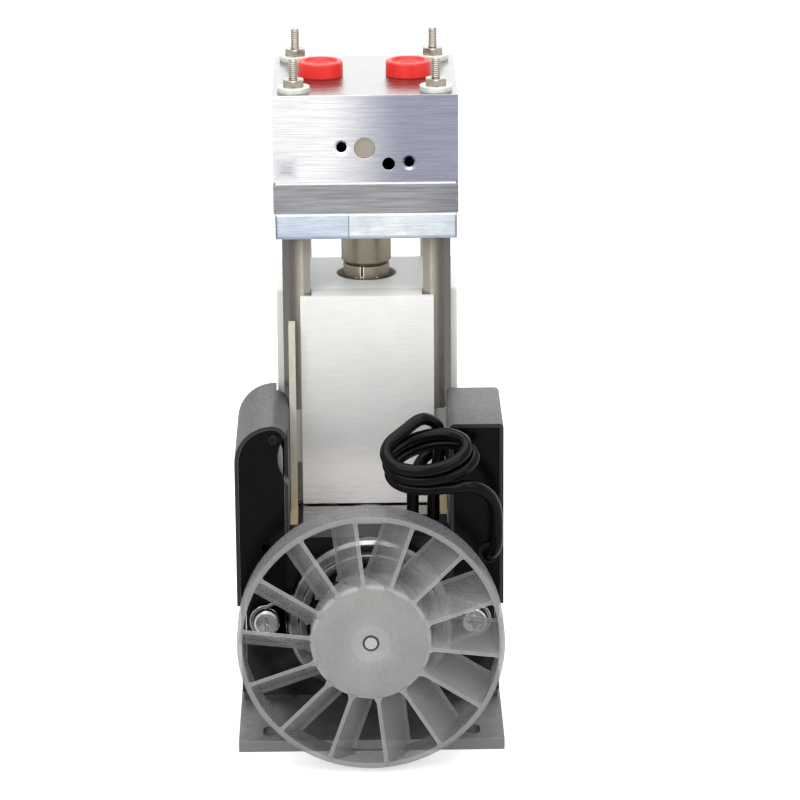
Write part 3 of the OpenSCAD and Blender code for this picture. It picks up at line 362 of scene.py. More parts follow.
# Zone: a mask that grows from the walls of a box inwards, over a soft depth in millimetres
def zoneGroup():
    tree, given, made = newGroup(
        "zone",
        [
            ("Vector", "NodeSocketVector", None),
            ("Low", "NodeSocketVector", None),
            ("High", "NodeSocketVector", None),
            ("Soft", "NodeSocketFloat", 1.0),
        ],
        [("Mask", "NodeSocketFloat")],
    )
    scaled = inMillimetres(tree, given.outputs["Vector"])
    above = vectorMaths(tree, "SUBTRACT", scaled, given.outputs["Low"])
    below = vectorMaths(tree, "SUBTRACT", given.outputs["High"], scaled)
    parts = add(tree, "ShaderNodeSeparateXYZ", i0=vectorMaths(tree, "MINIMUM", above, below))
    deep = maths(tree, "MINIMUM", parts.outputs["X"], parts.outputs["Y"])
    deep = maths(tree, "MINIMUM", deep, parts.outputs["Z"])
    tree.links.new(ramp(tree, maths(tree, "DIVIDE", deep, given.outputs["Soft"]), 0, 1), made.inputs["Mask"])
    return tree


# Facing: a mask of the faces that look one way
def facingGroup():
    inputs = [("Toward", "NodeSocketVector", None)]
    tree, given, made = newGroup("facing", inputs, [("Mask", "NodeSocketFloat")])
    flat = tree.nodes.new("ShaderNodeNewGeometry")
    match = agreement(tree, flat.outputs["Normal"], given.outputs["Toward"])
    tree.links.new(ramp(tree, match, *effectLook["facingRamp"]), made.inputs["Mask"])
    return tree


# Reach: the distance from the shaft's axis in millimetres
def reachGroup():
    inputs = [("Vector", "NodeSocketVector", None)]
    tree, given, made = newGroup("reach", inputs, [("Radius", "NodeSocketFloat")])
    parts = add(tree, "ShaderNodeSeparateXYZ", i0=given.outputs["Vector"])
    across = parts.outputs["X"]
    up = maths(tree, "SUBTRACT", parts.outputs["Z"], shaftHeight * mm)
    square = maths(tree, "ADD", maths(tree, "MULTIPLY", across, across), maths(tree, "MULTIPLY", up, up))
    tree.links.new(maths(tree, "MULTIPLY", maths(tree, "SQRT", square), 1 / mm), made.inputs["Radius"])
    return tree


effects = {
    "grain": grainGroup(),
    "edges": edgeGroup(),
    "dust": dustGroup(),
    "zone": zoneGroup(),
    "facing": facingGroup(),
    "reach": reachGroup(),
}


def useEffect(tree, name, **links):
    node = tree.nodes.new("ShaderNodeGroup")
    node.node_tree = effects[name]
    for key, value in links.items():
        if isinstance(value, bpy.types.NodeSocket):
            tree.links.new(value, node.inputs[key])
        else:
            node.inputs[key].default_value = value
    return node


# One surface: colour with patches and zones, grain in colour, roughness and relief, worn edges, painted edge
# highlights and dust. Many finishes' zones are painted light and shade.
plain = {
    "colour": (128, 128, 128),
    "other": None,
    "patches": 0.06,
    "patchShare": 0.5,
    "zones": (),
    "late": False,
    "stretch": (1, 1, 1),
    "fineness": 2.0,
    "grainColour": 0.1,
    "rough": (0.4, 0.5),
    "metal": 0.0,
    "relief": 0.01,
    "round": 0.3,
    "wear": 0.0,
    # line: the share of a bright line painted along every corner, a painted edge highlight in the wear
    # colour
    "line": 0.0,
    "wearAndHighlightColour": (200, 200, 200),
    "dust": 0.0,
    "dustColour": (190, 186, 178),
    "specular": 0.5,
    "coat": 0.0,
    "coatRough": 0.1,
    "brushed": 0.0,
    "tangent": (1, 0, 0),
}
far = 999


# A zone is given by its two corners, its soft depth, its colour and its share
def zone(low, high, soft, colour, share=1.0, toward=None, specks=False):
    return {
        "low": low,
        "high": high,
        "soft": soft,
        "colour": colour,
        "share": share,
        "toward": toward,
        "specks": specks,
    }


def paintZones(tree, place, grain, colour, zones):
    for part in zones:
        area = useEffect(tree, "zone", Vector=place, Low=part["low"], High=part["high"], Soft=part["soft"])
        share = maths(tree, "MULTIPLY", area.outputs["Mask"], part["share"])
        if part["toward"]:
            looks = useEffect(tree, "facing", Toward=part["toward"])
            share = maths(tree, "MULTIPLY", share, looks.outputs["Mask"])
        if part["specks"]:
            share = maths(tree, "MULTIPLY", share, grain.outputs["Fine"])
        colour = blendColour(tree, share, colour, tone(*part["colour"]))
    return colour


# The fine grain as relief, on top of a normal where one is given
def addRelief(tree, shader, grain, depth, normal=None):
    relief = add(tree, "ShaderNodeBump", Strength=1.0, Distance=depth * mm)
    tree.links.new(grain.outputs["Fine"], relief.inputs["Height"])
    if normal:
        tree.links.new(normal, relief.inputs["Normal"])
    tree.links.new(relief.outputs[0], shader.inputs["Normal"])


def surface(name, look):
    chosen = {**plain, **look}
    made = bpy.data.materials.new(name)
    made.use_nodes = True
    tree = made.node_tree
    shader = tree.nodes["Principled BSDF"]
    place = tree.nodes.new("ShaderNodeTexCoord").outputs["Object"]
    grain = useEffect(
        tree,
        "grain",
        Vector=place,
        Stretch=chosen["stretch"],
        Fineness=chosen["fineness"],
        Patches=chosen["patches"],
    )
    edges = useEffect(tree, "edges", Vector=place, Radius=chosen["round"] * mm, Wear=chosen["wear"])
    colour = tone(*chosen["colour"])
    if chosen["other"]:
        share = maths(tree, "MULTIPLY", grain.outputs["Broad"], chosen["patchShare"])
        colour = blendColour(tree, share, colour, tone(*chosen["other"]))
    line = ramp(tree, grain.outputs["Fine"], 0, 1, 1 - chosen["grainColour"], 1.0)
    shade = add(tree, "ShaderNodeCombineXYZ", X=line, Y=line, Z=line)
    if chosen["late"]:
        colour = blendColour(tree, 1.0, colour, shade.outputs[0], "MULTIPLY")
    colour = paintZones(tree, place, grain, colour, chosen["zones"])
    if not chosen["late"]:
        colour = blendColour(tree, 1.0, colour, shade.outputs[0], "MULTIPLY")
    if chosen["wear"]:
        colour = blendColour(tree, edges.outputs["Mask"], colour, tone(*chosen["wearAndHighlightColour"]))
    # Painted edge highlight: every corner, unbroken, takes the wear colour by the line's share
    if chosen["line"]:
        share = maths(tree, "MULTIPLY", edges.outputs["Corner"], chosen["line"])
        colour = blendColour(tree, share, colour, tone(*chosen["wearAndHighlightColour"]))
    if chosen["dust"]:
        dust = useEffect(tree, "dust", Vector=place, Amount=chosen["dust"])
        colour = blendColour(tree, dust.outputs["Mask"], colour, tone(*chosen["dustColour"]))
    tree.links.new(colour, shader.inputs["Base Color"])
    tree.links.new(ramp(tree, grain.outputs["Fine"], 0, 1, *chosen["rough"]), shader.inputs["Roughness"])
    addRelief(tree, shader, grain, chosen["relief"], edges.outputs["Normal"])
    shader.inputs["Metallic"].default_value = chosen["metal"]
    shader.inputs["Specular IOR Level"].default_value = chosen["specular"]
    shader.inputs["Coat Weight"].default_value = chosen["coat"]
    shader.inputs["Coat Roughness"].default_value = chosen["coatRough"]
    if chosen["brushed"]:
        shader.inputs["Anisotropic"].default_value = chosen["brushed"]
        axis = add(tree, "ShaderNodeCombineXYZ", **dict(zip("XYZ", chosen["tangent"])))
        tree.links.new(axis.outputs[0], shader.inputs["Tangent"])
    return made


finish = {}

finish["base_steel"] = surface("baseSteel", {
    "colour": (122, 121, 121),
    "other": (98, 97, 98),
    "patches": 0.12,
    "patchShare": 0.7,
    "zones": (
        # Painted light: the plate's front face is painted lighter, with darker specks over it
        zone((-far, -61, -1), (far, -59.5, far), 0.4, (150, 149, 149), 0.9, (0, -1, 0)),
        zone((-far, -61, -1), (far, -59.5, far), 0.4, (96, 95, 95), 0.6, (0, -1, 0), True),
    ),
    "stretch": (0.25, 1, 1.6),
    "fineness": 1.1,
    "grainColour": 0.4,
    "rough": (0.4, 0.6),
    "metal": 0.3,
    "relief": 0.04,
    # Worn corners in near white, which also paint the highlight along the front edge
    "wear": 0.7,
    "wearAndHighlightColour": (236, 236, 236),
    "dust": 0.15,
})
finish["cast_white"] = surface("castWhite", {
    "colour": (233, 232, 228),
    "other": (222, 221, 216),
    "patches": 0.03,
    "zones": (
        # Painted shade and light: darker below 9 mm down by the base plate, a top painted lighter to lift
        # the shade cast by the head above, and the lug fronts painted lighter on the left than on the right
        zone((-far, -far, -far), (far, far, 9), 0.6, (74, 73, 74)),
        zone((-far, -far, 172), (far, far, far), 0.4, (255, 255, 250)),
        zone((25, -11, 100), (33, -9, 127), 0.2, (154, 154, 152), 1.0, (0, -1, 0)),
        zone((-33, -11, 100), (-25, -9, 127), 0.2, (200, 199, 196), 1.0, (0, -1, 0)),
    ),
    "fineness": 1.3,
    "grainColour": 0.03,
    "rough": (0.42, 0.52),
    "relief": 0.015,
    "round": 0.5,
    "wear": 0.2,
    "wearAndHighlightColour": (212, 211, 206),
    "dust": 0.05,
})
finish["front_cover"] = surface("coverPaint", {
    "colour": (231, 230, 226),
    "other": (222, 220, 217),
    "patches": 0.035,
    "patchShare": 0.7,
    "zones": (
        # Painted shade: the cover darkens from its top downwards, is painted lighter again below 116 mm, and
        # takes darker specks below 106 mm
        zone((-far, -far, -far), (far, far, 172), 60, (200, 199, 197), 0.95),
        zone((-far, -far, -far), (far, far, 116), 22, (255, 250, 248), 0.95),
        zone((-far, -far, -far), (far, far, 106), 14, (176, 172, 170), 0.4, None, True),
    ),
    "stretch": (0.12, 1, 1),
    "fineness": 0.9,
    "grainColour": 0.06,
    "rough": (0.4, 0.52),
    "relief": 0.02,
    "round": 0.35,
    "wear": 0.3,
    "wearAndHighlightColour": (226, 225, 220),
})
finish["screw_steel"] = surface("screwSteel", {
    "colour": (200, 199, 198),
    "other": (148, 146, 144),
    "patches": 0.3,
    "fineness": 3.0,
    "grainColour": 0.18,
    "rough": (0.16, 0.32),
    "metal": 1.0,
    "relief": 0.01,
    "round": 0.12,
    "wear": 0.4,
})
finish["stud_steel"] = surface("studSteel", {
    "colour": (176, 170, 158),
    "other": (134, 127, 116),
    "patches": 0.25,
    "fineness": 2.6,
    "grainColour": 0.16,
    "rough": (0.22, 0.38),
    "metal": 0.9,
    "relief": 0.01,
    "round": 0.12,
    "wear": 0.35,
    "wearAndHighlightColour": (222, 218, 208),
})
finish["cap_screws"] = surface("capScrew", {
    "colour": (40, 40, 42),
    "other": (24, 24, 26),
    "patches": 0.3,
    "fineness": 3.0,
    "grainColour": 0.2,
    "rough": (0.25, 0.4),
    "metal": 0.9,
    "relief": 0.01,
    "round": 0.1,
})
finish["washer"] = surface("washerZinc", {
    "colour": (226, 224, 217),
    "other": (200, 197, 188),
    "patches": 0.2,
    "fineness": 2.5,
    "grainColour": 0.1,
    "rough": (0.35, 0.55),
    "metal": 0.5,
    "relief": 0.01,
    "round": 0.12,
})
finish["board"] = surface("boardLaminate", {
    "colour": (198, 196, 180),
    "other": (184, 180, 158),
    "patches": 0.09,
    # Painted light: lighter and yellower towards the bottom, below 112 mm
    "zones": (zone((-far, -far, -far), (far, far, 112), 24, (222, 206, 164), 0.95),),
    "stretch": (1, 1, 0.15),
    "fineness": 1.4,
    "grainColour": 0.1,
    "rough": (0.45, 0.6),
    "relief": 0.012,
    "round": 0.15,
    "wear": 0.4,
    "wearAndHighlightColour": (170, 158, 122),
})
finish["bright_alloy"] = surface("brightAlloy", {
    "colour": (255, 255, 255),
    "other": (246, 247, 252),
    "patches": 0.05,
    "zones": (
        # Painted light and shade: the front face runs from white on the left to a bluish grey on the right
        # as a painted reflection; bluish mottling low on the left; the top face painted darker; near-black
        # painted shade on the faces set back behind the front
        zone((-18, -far, -far), (far, far, far), 34, (156, 158, 176), 0.97, (0, -1, 0)),
        zone((-37, -far, 219), (-25, far, 231), 6, (120, 122, 140), 0.9, (0, -1, 0), True),
        zone((-far, -far, 240), (far, far, far), 3, (149, 149, 149), 1.0, (0, 0, 1)),
        zone((-30, -12.5, 221.5), (30, 60, 252), 0.4, (14, 14, 18)),
        zone((6, -13.5, 224), (11.9, 60, 230), 0.2, (14, 14, 18)),
    ),
    "stretch": (0.03, 1, 1),
    "fineness": 2.4,
    "grainColour": 0.2,
    "rough": (0.2, 0.38),
    "metal": 1.0,
    "relief": 0.008,
    "round": 0.25,
    "wear": 0.5,
    "wearAndHighlightColour": (255, 255, 255),
    "brushed": 0.6,
})
clampLook = {
    "colour": (230, 240, 252),
    "other": (190, 204, 224),
    "patches": 0.05,
    "patchShare": 0.8,
    "zones": (
        # Painted shade: both ends and the lower part of the front face are darker; a thin dark line near x =
        # -7 mm
        zone((34.2, -far, -far), (far, far, far), 1.2, (92, 96, 110), 0.9, (0, -1, 0)),
        zone((-far, -far, -far), (-34.2, far, far), 1.2, (92, 96, 110), 0.9, (0, -1, 0)),
        zone((-far, -far, -far), (far, far, 198.4), 1.2, (150, 158, 178), 0.7, (0, -1, 0)),
        zone((-7.05, -far, -far), (-6.55, far, far), 0.15, (84, 90, 104), 0.9),
    ),
    "stretch": (0.05, 1, 1),
    "fineness": 2.0,
    "grainColour": 0.22,
    "rough": (0.2, 0.38),
    "metal": 1.0,
    "relief": 0.008,
    "round": 0.25,
    "wear": 0.5,
    "wearAndHighlightColour": (250, 252, 255),
    "brushed": 0.6,
}
# Painted light: the left plate is painted a little darker and bluer than the right
finish["clamp_plate_left"] = surface("leftClamp", {**clampLook, "colour": (222, 234, 248)})
finish["clamp_plate_right"] = surface("rightClamp", {**clampLook, "colour": (248, 253, 255)})
finish["dull_alloy"] = surface("dullAlloy", {
    "colour": (174, 174, 178),
    "other": (152, 152, 156),
    "patches": 0.05,
    # Painted shade: the front face darkens towards the right
    "zones": (zone((14, -far, -far), (far, far, far), 22, (150, 150, 158), 0.9, (0, -1, 0)),),
    "stretch": (0.03, 1, 1),
    "fineness": 1.6,
    "grainColour": 0.36,
    "rough": (0.3, 0.5),
    "metal": 1.0,
    "relief": 0.015,
    "round": 0.3,
    "wear": 0.5,
    "wearAndHighlightColour": (222, 222, 226),
    "brushed": 0.6,
})
finish["gasket"] = surface("gasketSheet", {
    "colour": (232, 232, 232),
    "other": (214, 214, 214),
    "fineness": 2.2,
    "grainColour": 0.1,
    "rough": (0.7, 0.85),
    "relief": 0.03,
    "round": 0.1,
})
finish["bellows_steel"] = surface("bellowsSteel", {
    "colour": (196, 196, 200),
    "other": (172, 172, 176),
    "stretch": (1, 1, 6),
    "fineness": 1.4,
    "grainColour": 0.12,
    "rough": (0.14, 0.28),
    "metal": 1.0,
    "relief": 0.008,
    "round": 0.1,
})
finish["valve_steel"] = surface("valveSteel", {
    "colour": (186, 190, 198),
    "other": (160, 164, 172),
    "fineness": 3.0,
    "grainColour": 0.1,
    "rough": (0.1, 0.2),
    "metal": 1.0,
    "relief": 0.004,
    "round": 0.1,
})
finish["dark_plug"] = surface("darkPlug", {
    "colour": (166, 158, 146),
    "other": (140, 133, 121),
    "patches": 0.25,
    "fineness": 2.0,
    "grainColour": 0.14,
    "rough": (0.4, 0.55),
    "metal": 0.8,
    "relief": 0.015,
    "round": 0.2,
})
finish["red_plastic"] = surface("redPlastic", {
    "colour": (228, 36, 27),
    "other": (216, 30, 24),
    "patches": 0.12,
    "fineness": 1.6,
    "grainColour": 0.05,
    "rough": (0.34, 0.46),
    "relief": 0.012,
    "round": 0.4,
    "wear": 0.3,
    "wearAndHighlightColour": (255, 104, 88),
})
sheetLook = {
    "colour": (71, 71, 71),
    "other": (60, 60, 61),
    "patches": 0.05,
    "zones": (
        # Painted shade: the sheet darkens to near black below 112 mm, and every face looking to the front is
        # near black as shade
        zone((-far, -far, -far), (far, far, 112), 30, (20, 20, 21), 0.97),
        zone((-far, -far, -far), (far, far, far), 1, (26, 26, 27), 1.0, (0, -1, 0)),
    ),
    "stretch": (1, 0.15, 1),
    "fineness": 1.8,
    "grainColour": 0.12,
    "rough": (0.42, 0.55),
    "metal": 0.2,
    "relief": 0.02,
    "round": 0.35,
    "wear": 0.2,
    "wearAndHighlightColour": (196, 196, 198),
    "dust": 0.06,
    "dustColour": (160, 159, 156),
}
# The left sheet's line paints its bright front edge as a painted highlight
finish["left_side_box"] = surface("leftSheet", {**sheetLook, "line": 0.35})
finish["right_side_box"] = surface("rightSheet", {
    **sheetLook,
    # Painted light: the right sheet is a lighter grey than the left, with painted shade over its front part
    "colour": (87, 87, 87),
    "other": (80, 80, 81),
    "zones": (
        zone((-far, -far, -far), (far, -26, far), 30, (66, 65, 67)),
        *sheetLook["zones"],
    ),
    "wear": 0.0,
})
finish["black_plastic"] = surface("blackPlastic", {
    "colour": (7, 7, 8),
    "other": (13, 13, 14),
    "patches": 0.1,
    "fineness": 1.2,
    "grainColour": 0.2,
    "rough": (0.1, 0.2),
    "relief": 0.014,
    "round": 0.4,
    "wear": 0.08,
    "wearAndHighlightColour": (110, 108, 110),
    "specular": 0.08,
})
finish["capacitor_can"] = surface("capacitorCan", {
    "colour": (168, 169, 170),
    "other": (150, 151, 152),
    "stretch": (1, 0.1, 1),
    "fineness": 1.4,
    "grainColour": 0.16,
    "rough": (0.35, 0.5),
    "metal": 0.5,
    "relief": 0.02,
    "round": 0.4,
})
finish["block_plastic"] = surface("blockPlastic", {
    "colour": (54, 54, 56),
    "other": (44, 44, 46),
    "fineness": 1.6,
    "grainColour": 0.15,
    "rough": (0.4, 0.55),
    "relief": 0.015,
    "round": 0.3,
})
finish["lamination"] = surface("laminationStack", {
    "colour": (8, 8, 9),
    "other": (22, 21, 21),
    "patches": 0.15,
    "zones": (
        # The stack's top face is painted light grey, with a cream strip on each side; the left strip is
        # painted lighter than the right, as painted light
        zone((-26.3, -37, 86), (26.3, far, 87), 0.4, (178, 175, 173), 0.95, (0, 0, 1)),
        zone((-31.4, -37, 86), (-28.1, far, 87), 0.3, (214, 200, 164), 0.9, (0, 0, 1)),
        zone((28.1, -37, 86), (31.4, far, 87), 0.3, (196, 186, 156), 0.9, (0, 0, 1)),
    ),
    "late": True,
    "stretch": (0.05, 2.2, 0.05),
    "fineness": 1.0,
    "grainColour": 0.5,
    "rough": (0.14, 0.34),
    "relief": 0.012,
    "round": 0.3,
    "wear": 0.25,
    "wearAndHighlightColour": (110, 108, 106),
    "specular": 0.22,
})
finish["winding"] = surface("windingWire", {
    "colour": (150, 78, 40),
    "other": (116, 56, 28),
    "fineness": 2.0,
    "grainColour": 0.4,
    "rough": (0.22, 0.4),
    "metal": 0.6,
    "relief": 0.08,
    "round": 0.3,
    "coat": 0.5,
})
finish["die_casting"] = surface("dieCasting", {
    "colour": (150, 151, 153),
    "other": (112, 112, 114),
    "patches": 0.12,
    "fineness": 1.5,
    "grainColour": 0.22,
    "rough": (0.22, 0.42),
    "metal": 1.0,
    "relief": 0.02,
    "round": 0.5,
    "wear": 0.5,
    "wearAndHighlightColour": (232, 232, 236),
})
finish["front_bell"] = surface("bellCasting", {
    "colour": (150, 150, 153),
    "other": (96, 96, 99),
    "patches": 0.1,
    "patchShare": 0.8,
    "zones": (
        # Painted light and shade: black sunk floors round the screws as recess shade, darker front steps,
        # and a darker lower half; the line paints near-white highlights along every edge
        zone((-47.5, -56.2, 40), (-30, -50, 66), 0.2, (6, 6, 6)),
        zone((30, -56.2, 40), (47.5, -50, 66), 0.2, (6, 6, 6)),
        zone((-13, -59.1, 40), (13, -57.6, 90), 0.2, (20, 20, 21), 0.9),
        zone((-30, -59.1, 40), (30, -58.25, 90), 0.2, (26, 26, 27), 0.9),
        zone((-33.5, -far, -far), (33.5, far, 66), 18, (44, 44, 46), 0.92),
    ),
    "fineness": 1.2,
    "grainColour": 0.2,
    "rough": (0.12, 0.26),
    "metal": 1.0,
    "relief": 0.012,
    "round": 0.55,
    "line": 0.95,
    "wearAndHighlightColour": (250, 250, 250),
})
finish["bearing_steel"] = surface("bearingSteel", {
    "colour": (200, 200, 204),
    "other": (170, 170, 176),
    "fineness": 2.6,
    "grainColour": 0.1,
    "rough": (0.12, 0.24),
    "metal": 1.0,
    "relief": 0.005,
    "round": 0.15,
})
nickelLook = {
    "colour": (158, 150, 134),
    "other": (140, 132, 118),
    "patches": 0.14,
    "stretch": (1, 1, 0.2),
    "fineness": 1.6,
    "grainColour": 0.14,
    "rough": (0.34, 0.48),
    "metal": 0.85,
    "relief": 0.006,
    "round": 0.2,
}
finish["nickel"] = surface("dullNickel", nickelLook)
finish["clamp_collar"] = surface("collarNickel", {
    **nickelLook,
    # Painted highlight: a near-white line beside the slit
    "zones": (zone((-2.75, -far, -far), (-0.85, 16, far), 0.25, (255, 252, 240), 0.95),),
})
finish["standoffs"] = surface("standoffNickel", {
    **nickelLook,
    "colour": (188, 182, 168),
    "other": (174, 168, 155),
    "zones": (
        # Painted shade: the outer sides are darker, as shaded facets, and the tops darker under the head
        zone((24.6, -far, -far), (far, far, far), 4.5, (92, 86, 83), 0.96),
        zone((-far, -far, -far), (-24.6, far, far), 4.5, (92, 86, 83), 0.96),
        zone((-far, -far, 184), (far, far, far), 14, (92, 85, 80), 0.5),
    ),
    "metal": 0.55,
})
finish["rubber"] = surface("rubberMoulding", {
    "colour": (14, 14, 15),
    "other": (24, 24, 25),
    "fineness": 2.0,
    "grainColour": 0.2,
    "rough": (0.5, 0.65),
    "relief": 0.02,
    "round": 0.4,
    "specular": 0.2,
})
finish["lead_cover"] = surface("leadSleeve", {
    "colour": (5, 5, 6),
    "other": (11, 11, 12),
    "patches": 0.12,
    "fineness": 2.4,
    "grainColour": 0.2,
    "rough": (0.12, 0.2),
    "relief": 0.006,
    "round": 0.1,
    "specular": 0.1,
})


# Frosted plastic of the fan: part of the light goes straight through, less at edges and grazing angles.
# Corners and front faces are painted in a lighter edge colour, as painted highlights.
def frostedPlastic(name, look):
    made = bpy.data.materials.new(name)
    made.use_nodes = True
    tree = made.node_tree
    shader = tree.nodes["Principled BSDF"]
    place = tree.nodes.new("ShaderNodeTexCoord").outputs["Object"]
    grain = useEffect(tree, "grain", Vector=place, Fineness=look["fineness"], Patches=look["patches"])
    edges = useEffect(tree, "edges", Vector=place, Radius=look["round"] * mm, Wear=1.0)
    tinted = blendColour(tree, grain.outputs["Broad"], tone(*look["colour"]), tone(*look["other"]))
    tinted = paintZones(tree, place, grain, tinted, look["zones"])
    around = useEffect(tree, "reach", Vector=place)
    for radius, soft, shade, share in look["discs"]:
        inside = ramp(tree, around.outputs["Radius"], radius - soft, radius + soft, share, 0.0)
        tinted = blendColour(tree, inside, tinted, tone(*shade))
    # Painted highlight: corners, and faces looking to the front, take the lighter edge colour and turn more
    # opaque
    corner = maths(tree, "MULTIPLY", edges.outputs["Corner"], look["edge"])
    if look["front"]:
        front = useEffect(tree, "facing", Toward=(0, -1, 0)).outputs["Mask"]
        corner = maths(tree, "MAXIMUM", corner, maths(tree, "MULTIPLY", front, look["front"]))
    tree.links.new(blendColour(tree, corner, tinted, tone(*look["edgeHighlightColour"])), shader.inputs["Base Color"])
    tree.links.new(ramp(tree, grain.outputs["Fine"], 0, 1, *look["rough"]), shader.inputs["Roughness"])
    addRelief(tree, shader, grain, look["relief"])
    shader.inputs["Specular IOR Level"].default_value = look["specular"]
    facing = add(tree, "ShaderNodeLayerWeight", Blend=look["blend"]).outputs["Facing"]
    cloudy = maths(tree, "MULTIPLY_ADD", grain.outputs["Broad"], look["cloud"])
    cloudy.node.inputs[2].default_value = look["body"]
    firm = maths(tree, "MAXIMUM", cloudy, maths(tree, "MULTIPLY", facing, look["grazing"]), True)
    clear = add(tree, "ShaderNodeBsdfTransparent", Color=tone(*look["through"]))
    mix = tree.nodes.new("ShaderNodeMixShader")
    tree.links.new(maths(tree, "MAXIMUM", firm, corner, True), mix.inputs[0])
    tree.links.new(clear.outputs[0], mix.inputs[1])
    tree.links.new(shader.outputs[0], mix.inputs[2])
    tree.links.new(mix.outputs[0], tree.nodes["Material Output"].inputs["Surface"])
    return made


plasticLook = {
    "colour": (166, 167, 167),
    "other": (148, 149, 150),
    "zones": (),
    "discs": (),
    # front, edge and the edge colour set the painted highlights on front faces and corners
    "front": 0.4,
    "edgeHighlightColour": (214, 214, 210),
    "through": (236, 236, 236),
    "fineness": 0.5,
    "patches": 0.05,
    "rough": (0.24, 0.32),
    "relief": 0.002,
    "round": 0.3,
    "body": 0.24,
    "cloud": 0.12,
    "edge": 0.75,
    "grazing": 0.32,
    "blend": 0.3,
    "specular": 0.35,
}
finish["clear_plastic"] = frostedPlastic("frostedPlastic", plasticLook)
finish["fanRing"] = frostedPlastic("frostedRing", {
    **plasticLook,
    # Painted shade: the ring darkens towards its bottom
    "zones": (zone((-far, -far, -far), (far, far, 26), 26, (120, 120, 122), 0.9),),
    "edgeHighlightColour": (200, 200, 198),
    "through": (216, 216, 216),
    "front": 0.42,
    "body": 0.32,
    "cloud": 0.14,
    "grazing": 0.4,
})
finish["fanHub"] = frostedPlastic("frostedHub", {
    **plasticLook,
    "colour": (176, 176, 173),
    "other": (166, 166, 164),
    # Painted light and shade about the shaft: a lighter rim round a darker face, lighter rings on the raised
    # boss, and a dark painted shadow round the bore
    "discs": (
        (22.2, 0.8, (144, 145, 142), 0.9),
        (11.0, 1.2, (154, 155, 152), 0.85),
        (7.6, 0.5, (168, 168, 165), 0.85),
        (3.3, 0.25, (52, 52, 53), 0.95),
    ),
    "front": 0.0,
    "body": 0.74,
    "cloud": 0.15,
    "edge": 0.15,
})

# A solid gets the finish with its own name, or else the one listed here, or else its slot's
slotOf = {s["node"]: s["material_slot"] for s in frame["record"]["subparts"]}
lookOf = {
    "drive_housing": "cast_white",
    "studs": "stud_steel",
    "stud_nuts": "stud_steel",
}
for name, node in nodes.items():
    key = name if name in finish else lookOf.get(name, slotOf[name])
    node.data.materials.clear()
    node.data.materials.append(finish[key])
for lead in (coiledLead, straightLead):
    lead.data.materials.append(finish["lead_cover"])
print("stage: materials")


# Points nearer than these are one point: in a new mesh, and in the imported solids, in metres
sameSpot = {"made": 1e-7, "packed": 1e-6}


# Mesh pieces
def linkMesh(name, points, faces, angle=35):
    mesh = bpy.data.meshes.new(name)
    mesh.from_pydata([tuple(p) for p in points], [], faces)
    work = bmesh.new()
    work.from_mesh(mesh)
    bmesh.ops.remove_doubles(work, verts=work.verts, dist=sameSpot["made"])
    bmesh.ops.recalc_face_normals(work, faces=work.faces)
    work.to_mesh(mesh)
    work.free()
    mesh.shade_smooth()
    mesh.set_sharp_from_angle(angle=math.radians(angle))
    piece = bpy.data.objects.new(name, mesh)
    world.collection.objects.link(piece)
    return piece


# A grid of rings about Z, each at its height, with its radius from radiusAt(ring, angle). A looped grid
# joins its last ring to its first, and any other has a face across each end.
def ringed(name, heights, steps, radiusAt, looped=False, angle=35):
    points, faces = [], []
    for i, height in enumerate(heights):
        for k in range(steps):
            a = 2 * math.pi * k / steps
            r = radiusAt(i, a)
            points.append((r * math.cos(a), r * math.sin(a), height))
    rows = len(heights)
    for i in range(rows if looped else rows - 1):
        low, high = i * steps, (i + 1) % rows * steps
        for k in range(steps):
            n = (k + 1) % steps
            faces.append((low + k, low + n, high + n, high + k))
    if not looped:
        faces.append(tuple(range(steps))[::-1])
        faces.append(tuple((rows - 1) * steps + k for k in range(steps)))
    return linkMesh(name, points, faces, angle)


# A profile of (radius, height) points turned about Z
def turned(name, profile, steps=72, looped=False, angle=30):
    return ringed(name, [z for r, z in profile], steps, lambda i, a: profile[i][0], looped, angle)


# An outline with its corners cut by curves, each as far from its corner as its radius says
def rounded(corners, radii, steps=5):
    mostOfSide = 0.45
    path = []
    count = len(corners)
    for i, corner in enumerate(corners):
        here = Vector(corner)
        back = Vector(corners[i - 1]) - here
        ahead = Vector(corners[(i + 1) % count]) - here
        reach = min(radii[i], mostOfSide * back.length, mostOfSide * ahead.length)
        if reach <= 0:
            path.append(tuple(here))
            continue
        start, end = here + back.normalized() * reach, here + ahead.normalized() * reach
        for k in range(steps + 1):
            t = k / steps
            path.append(tuple((1 - t) ** 2 * start + 2 * t * (1 - t) * here + t * t * end))
    return path


def inMetres(profile):
    return [(r * mm, z * mm) for r, z in profile]


# Node trees that repeat a piece: at given places, or round an axis
def newTree(name, inputs):
    tree = bpy.data.node_groups.new(name, "GeometryNodeTree")
    sockets = {}
    for label, kind in inputs:
        socket = tree.interface.new_socket(name=label, in_out="INPUT", socket_type=kind)
        sockets[label] = socket.identifier
    tree.interface.new_socket(name="Pieces", in_out="OUTPUT", socket_type="NodeSocketGeometry")
    return tree, sockets, tree.nodes.new("NodeGroupInput")


def copiesOf(tree, given, points, rotation):
    source = tree.nodes.new("GeometryNodeObjectInfo")
    spread = tree.nodes.new("GeometryNodeInstanceOnPoints")
    tree.links.new(given.outputs["Piece"], source.inputs["Object"])
    tree.links.new(source.outputs["Geometry"], spread.inputs["Instance"])
    tree.links.new(points, spread.inputs["Points"])
    tree.links.new(rotation, spread.inputs["Rotation"])
    return spread.outputs["Instances"]


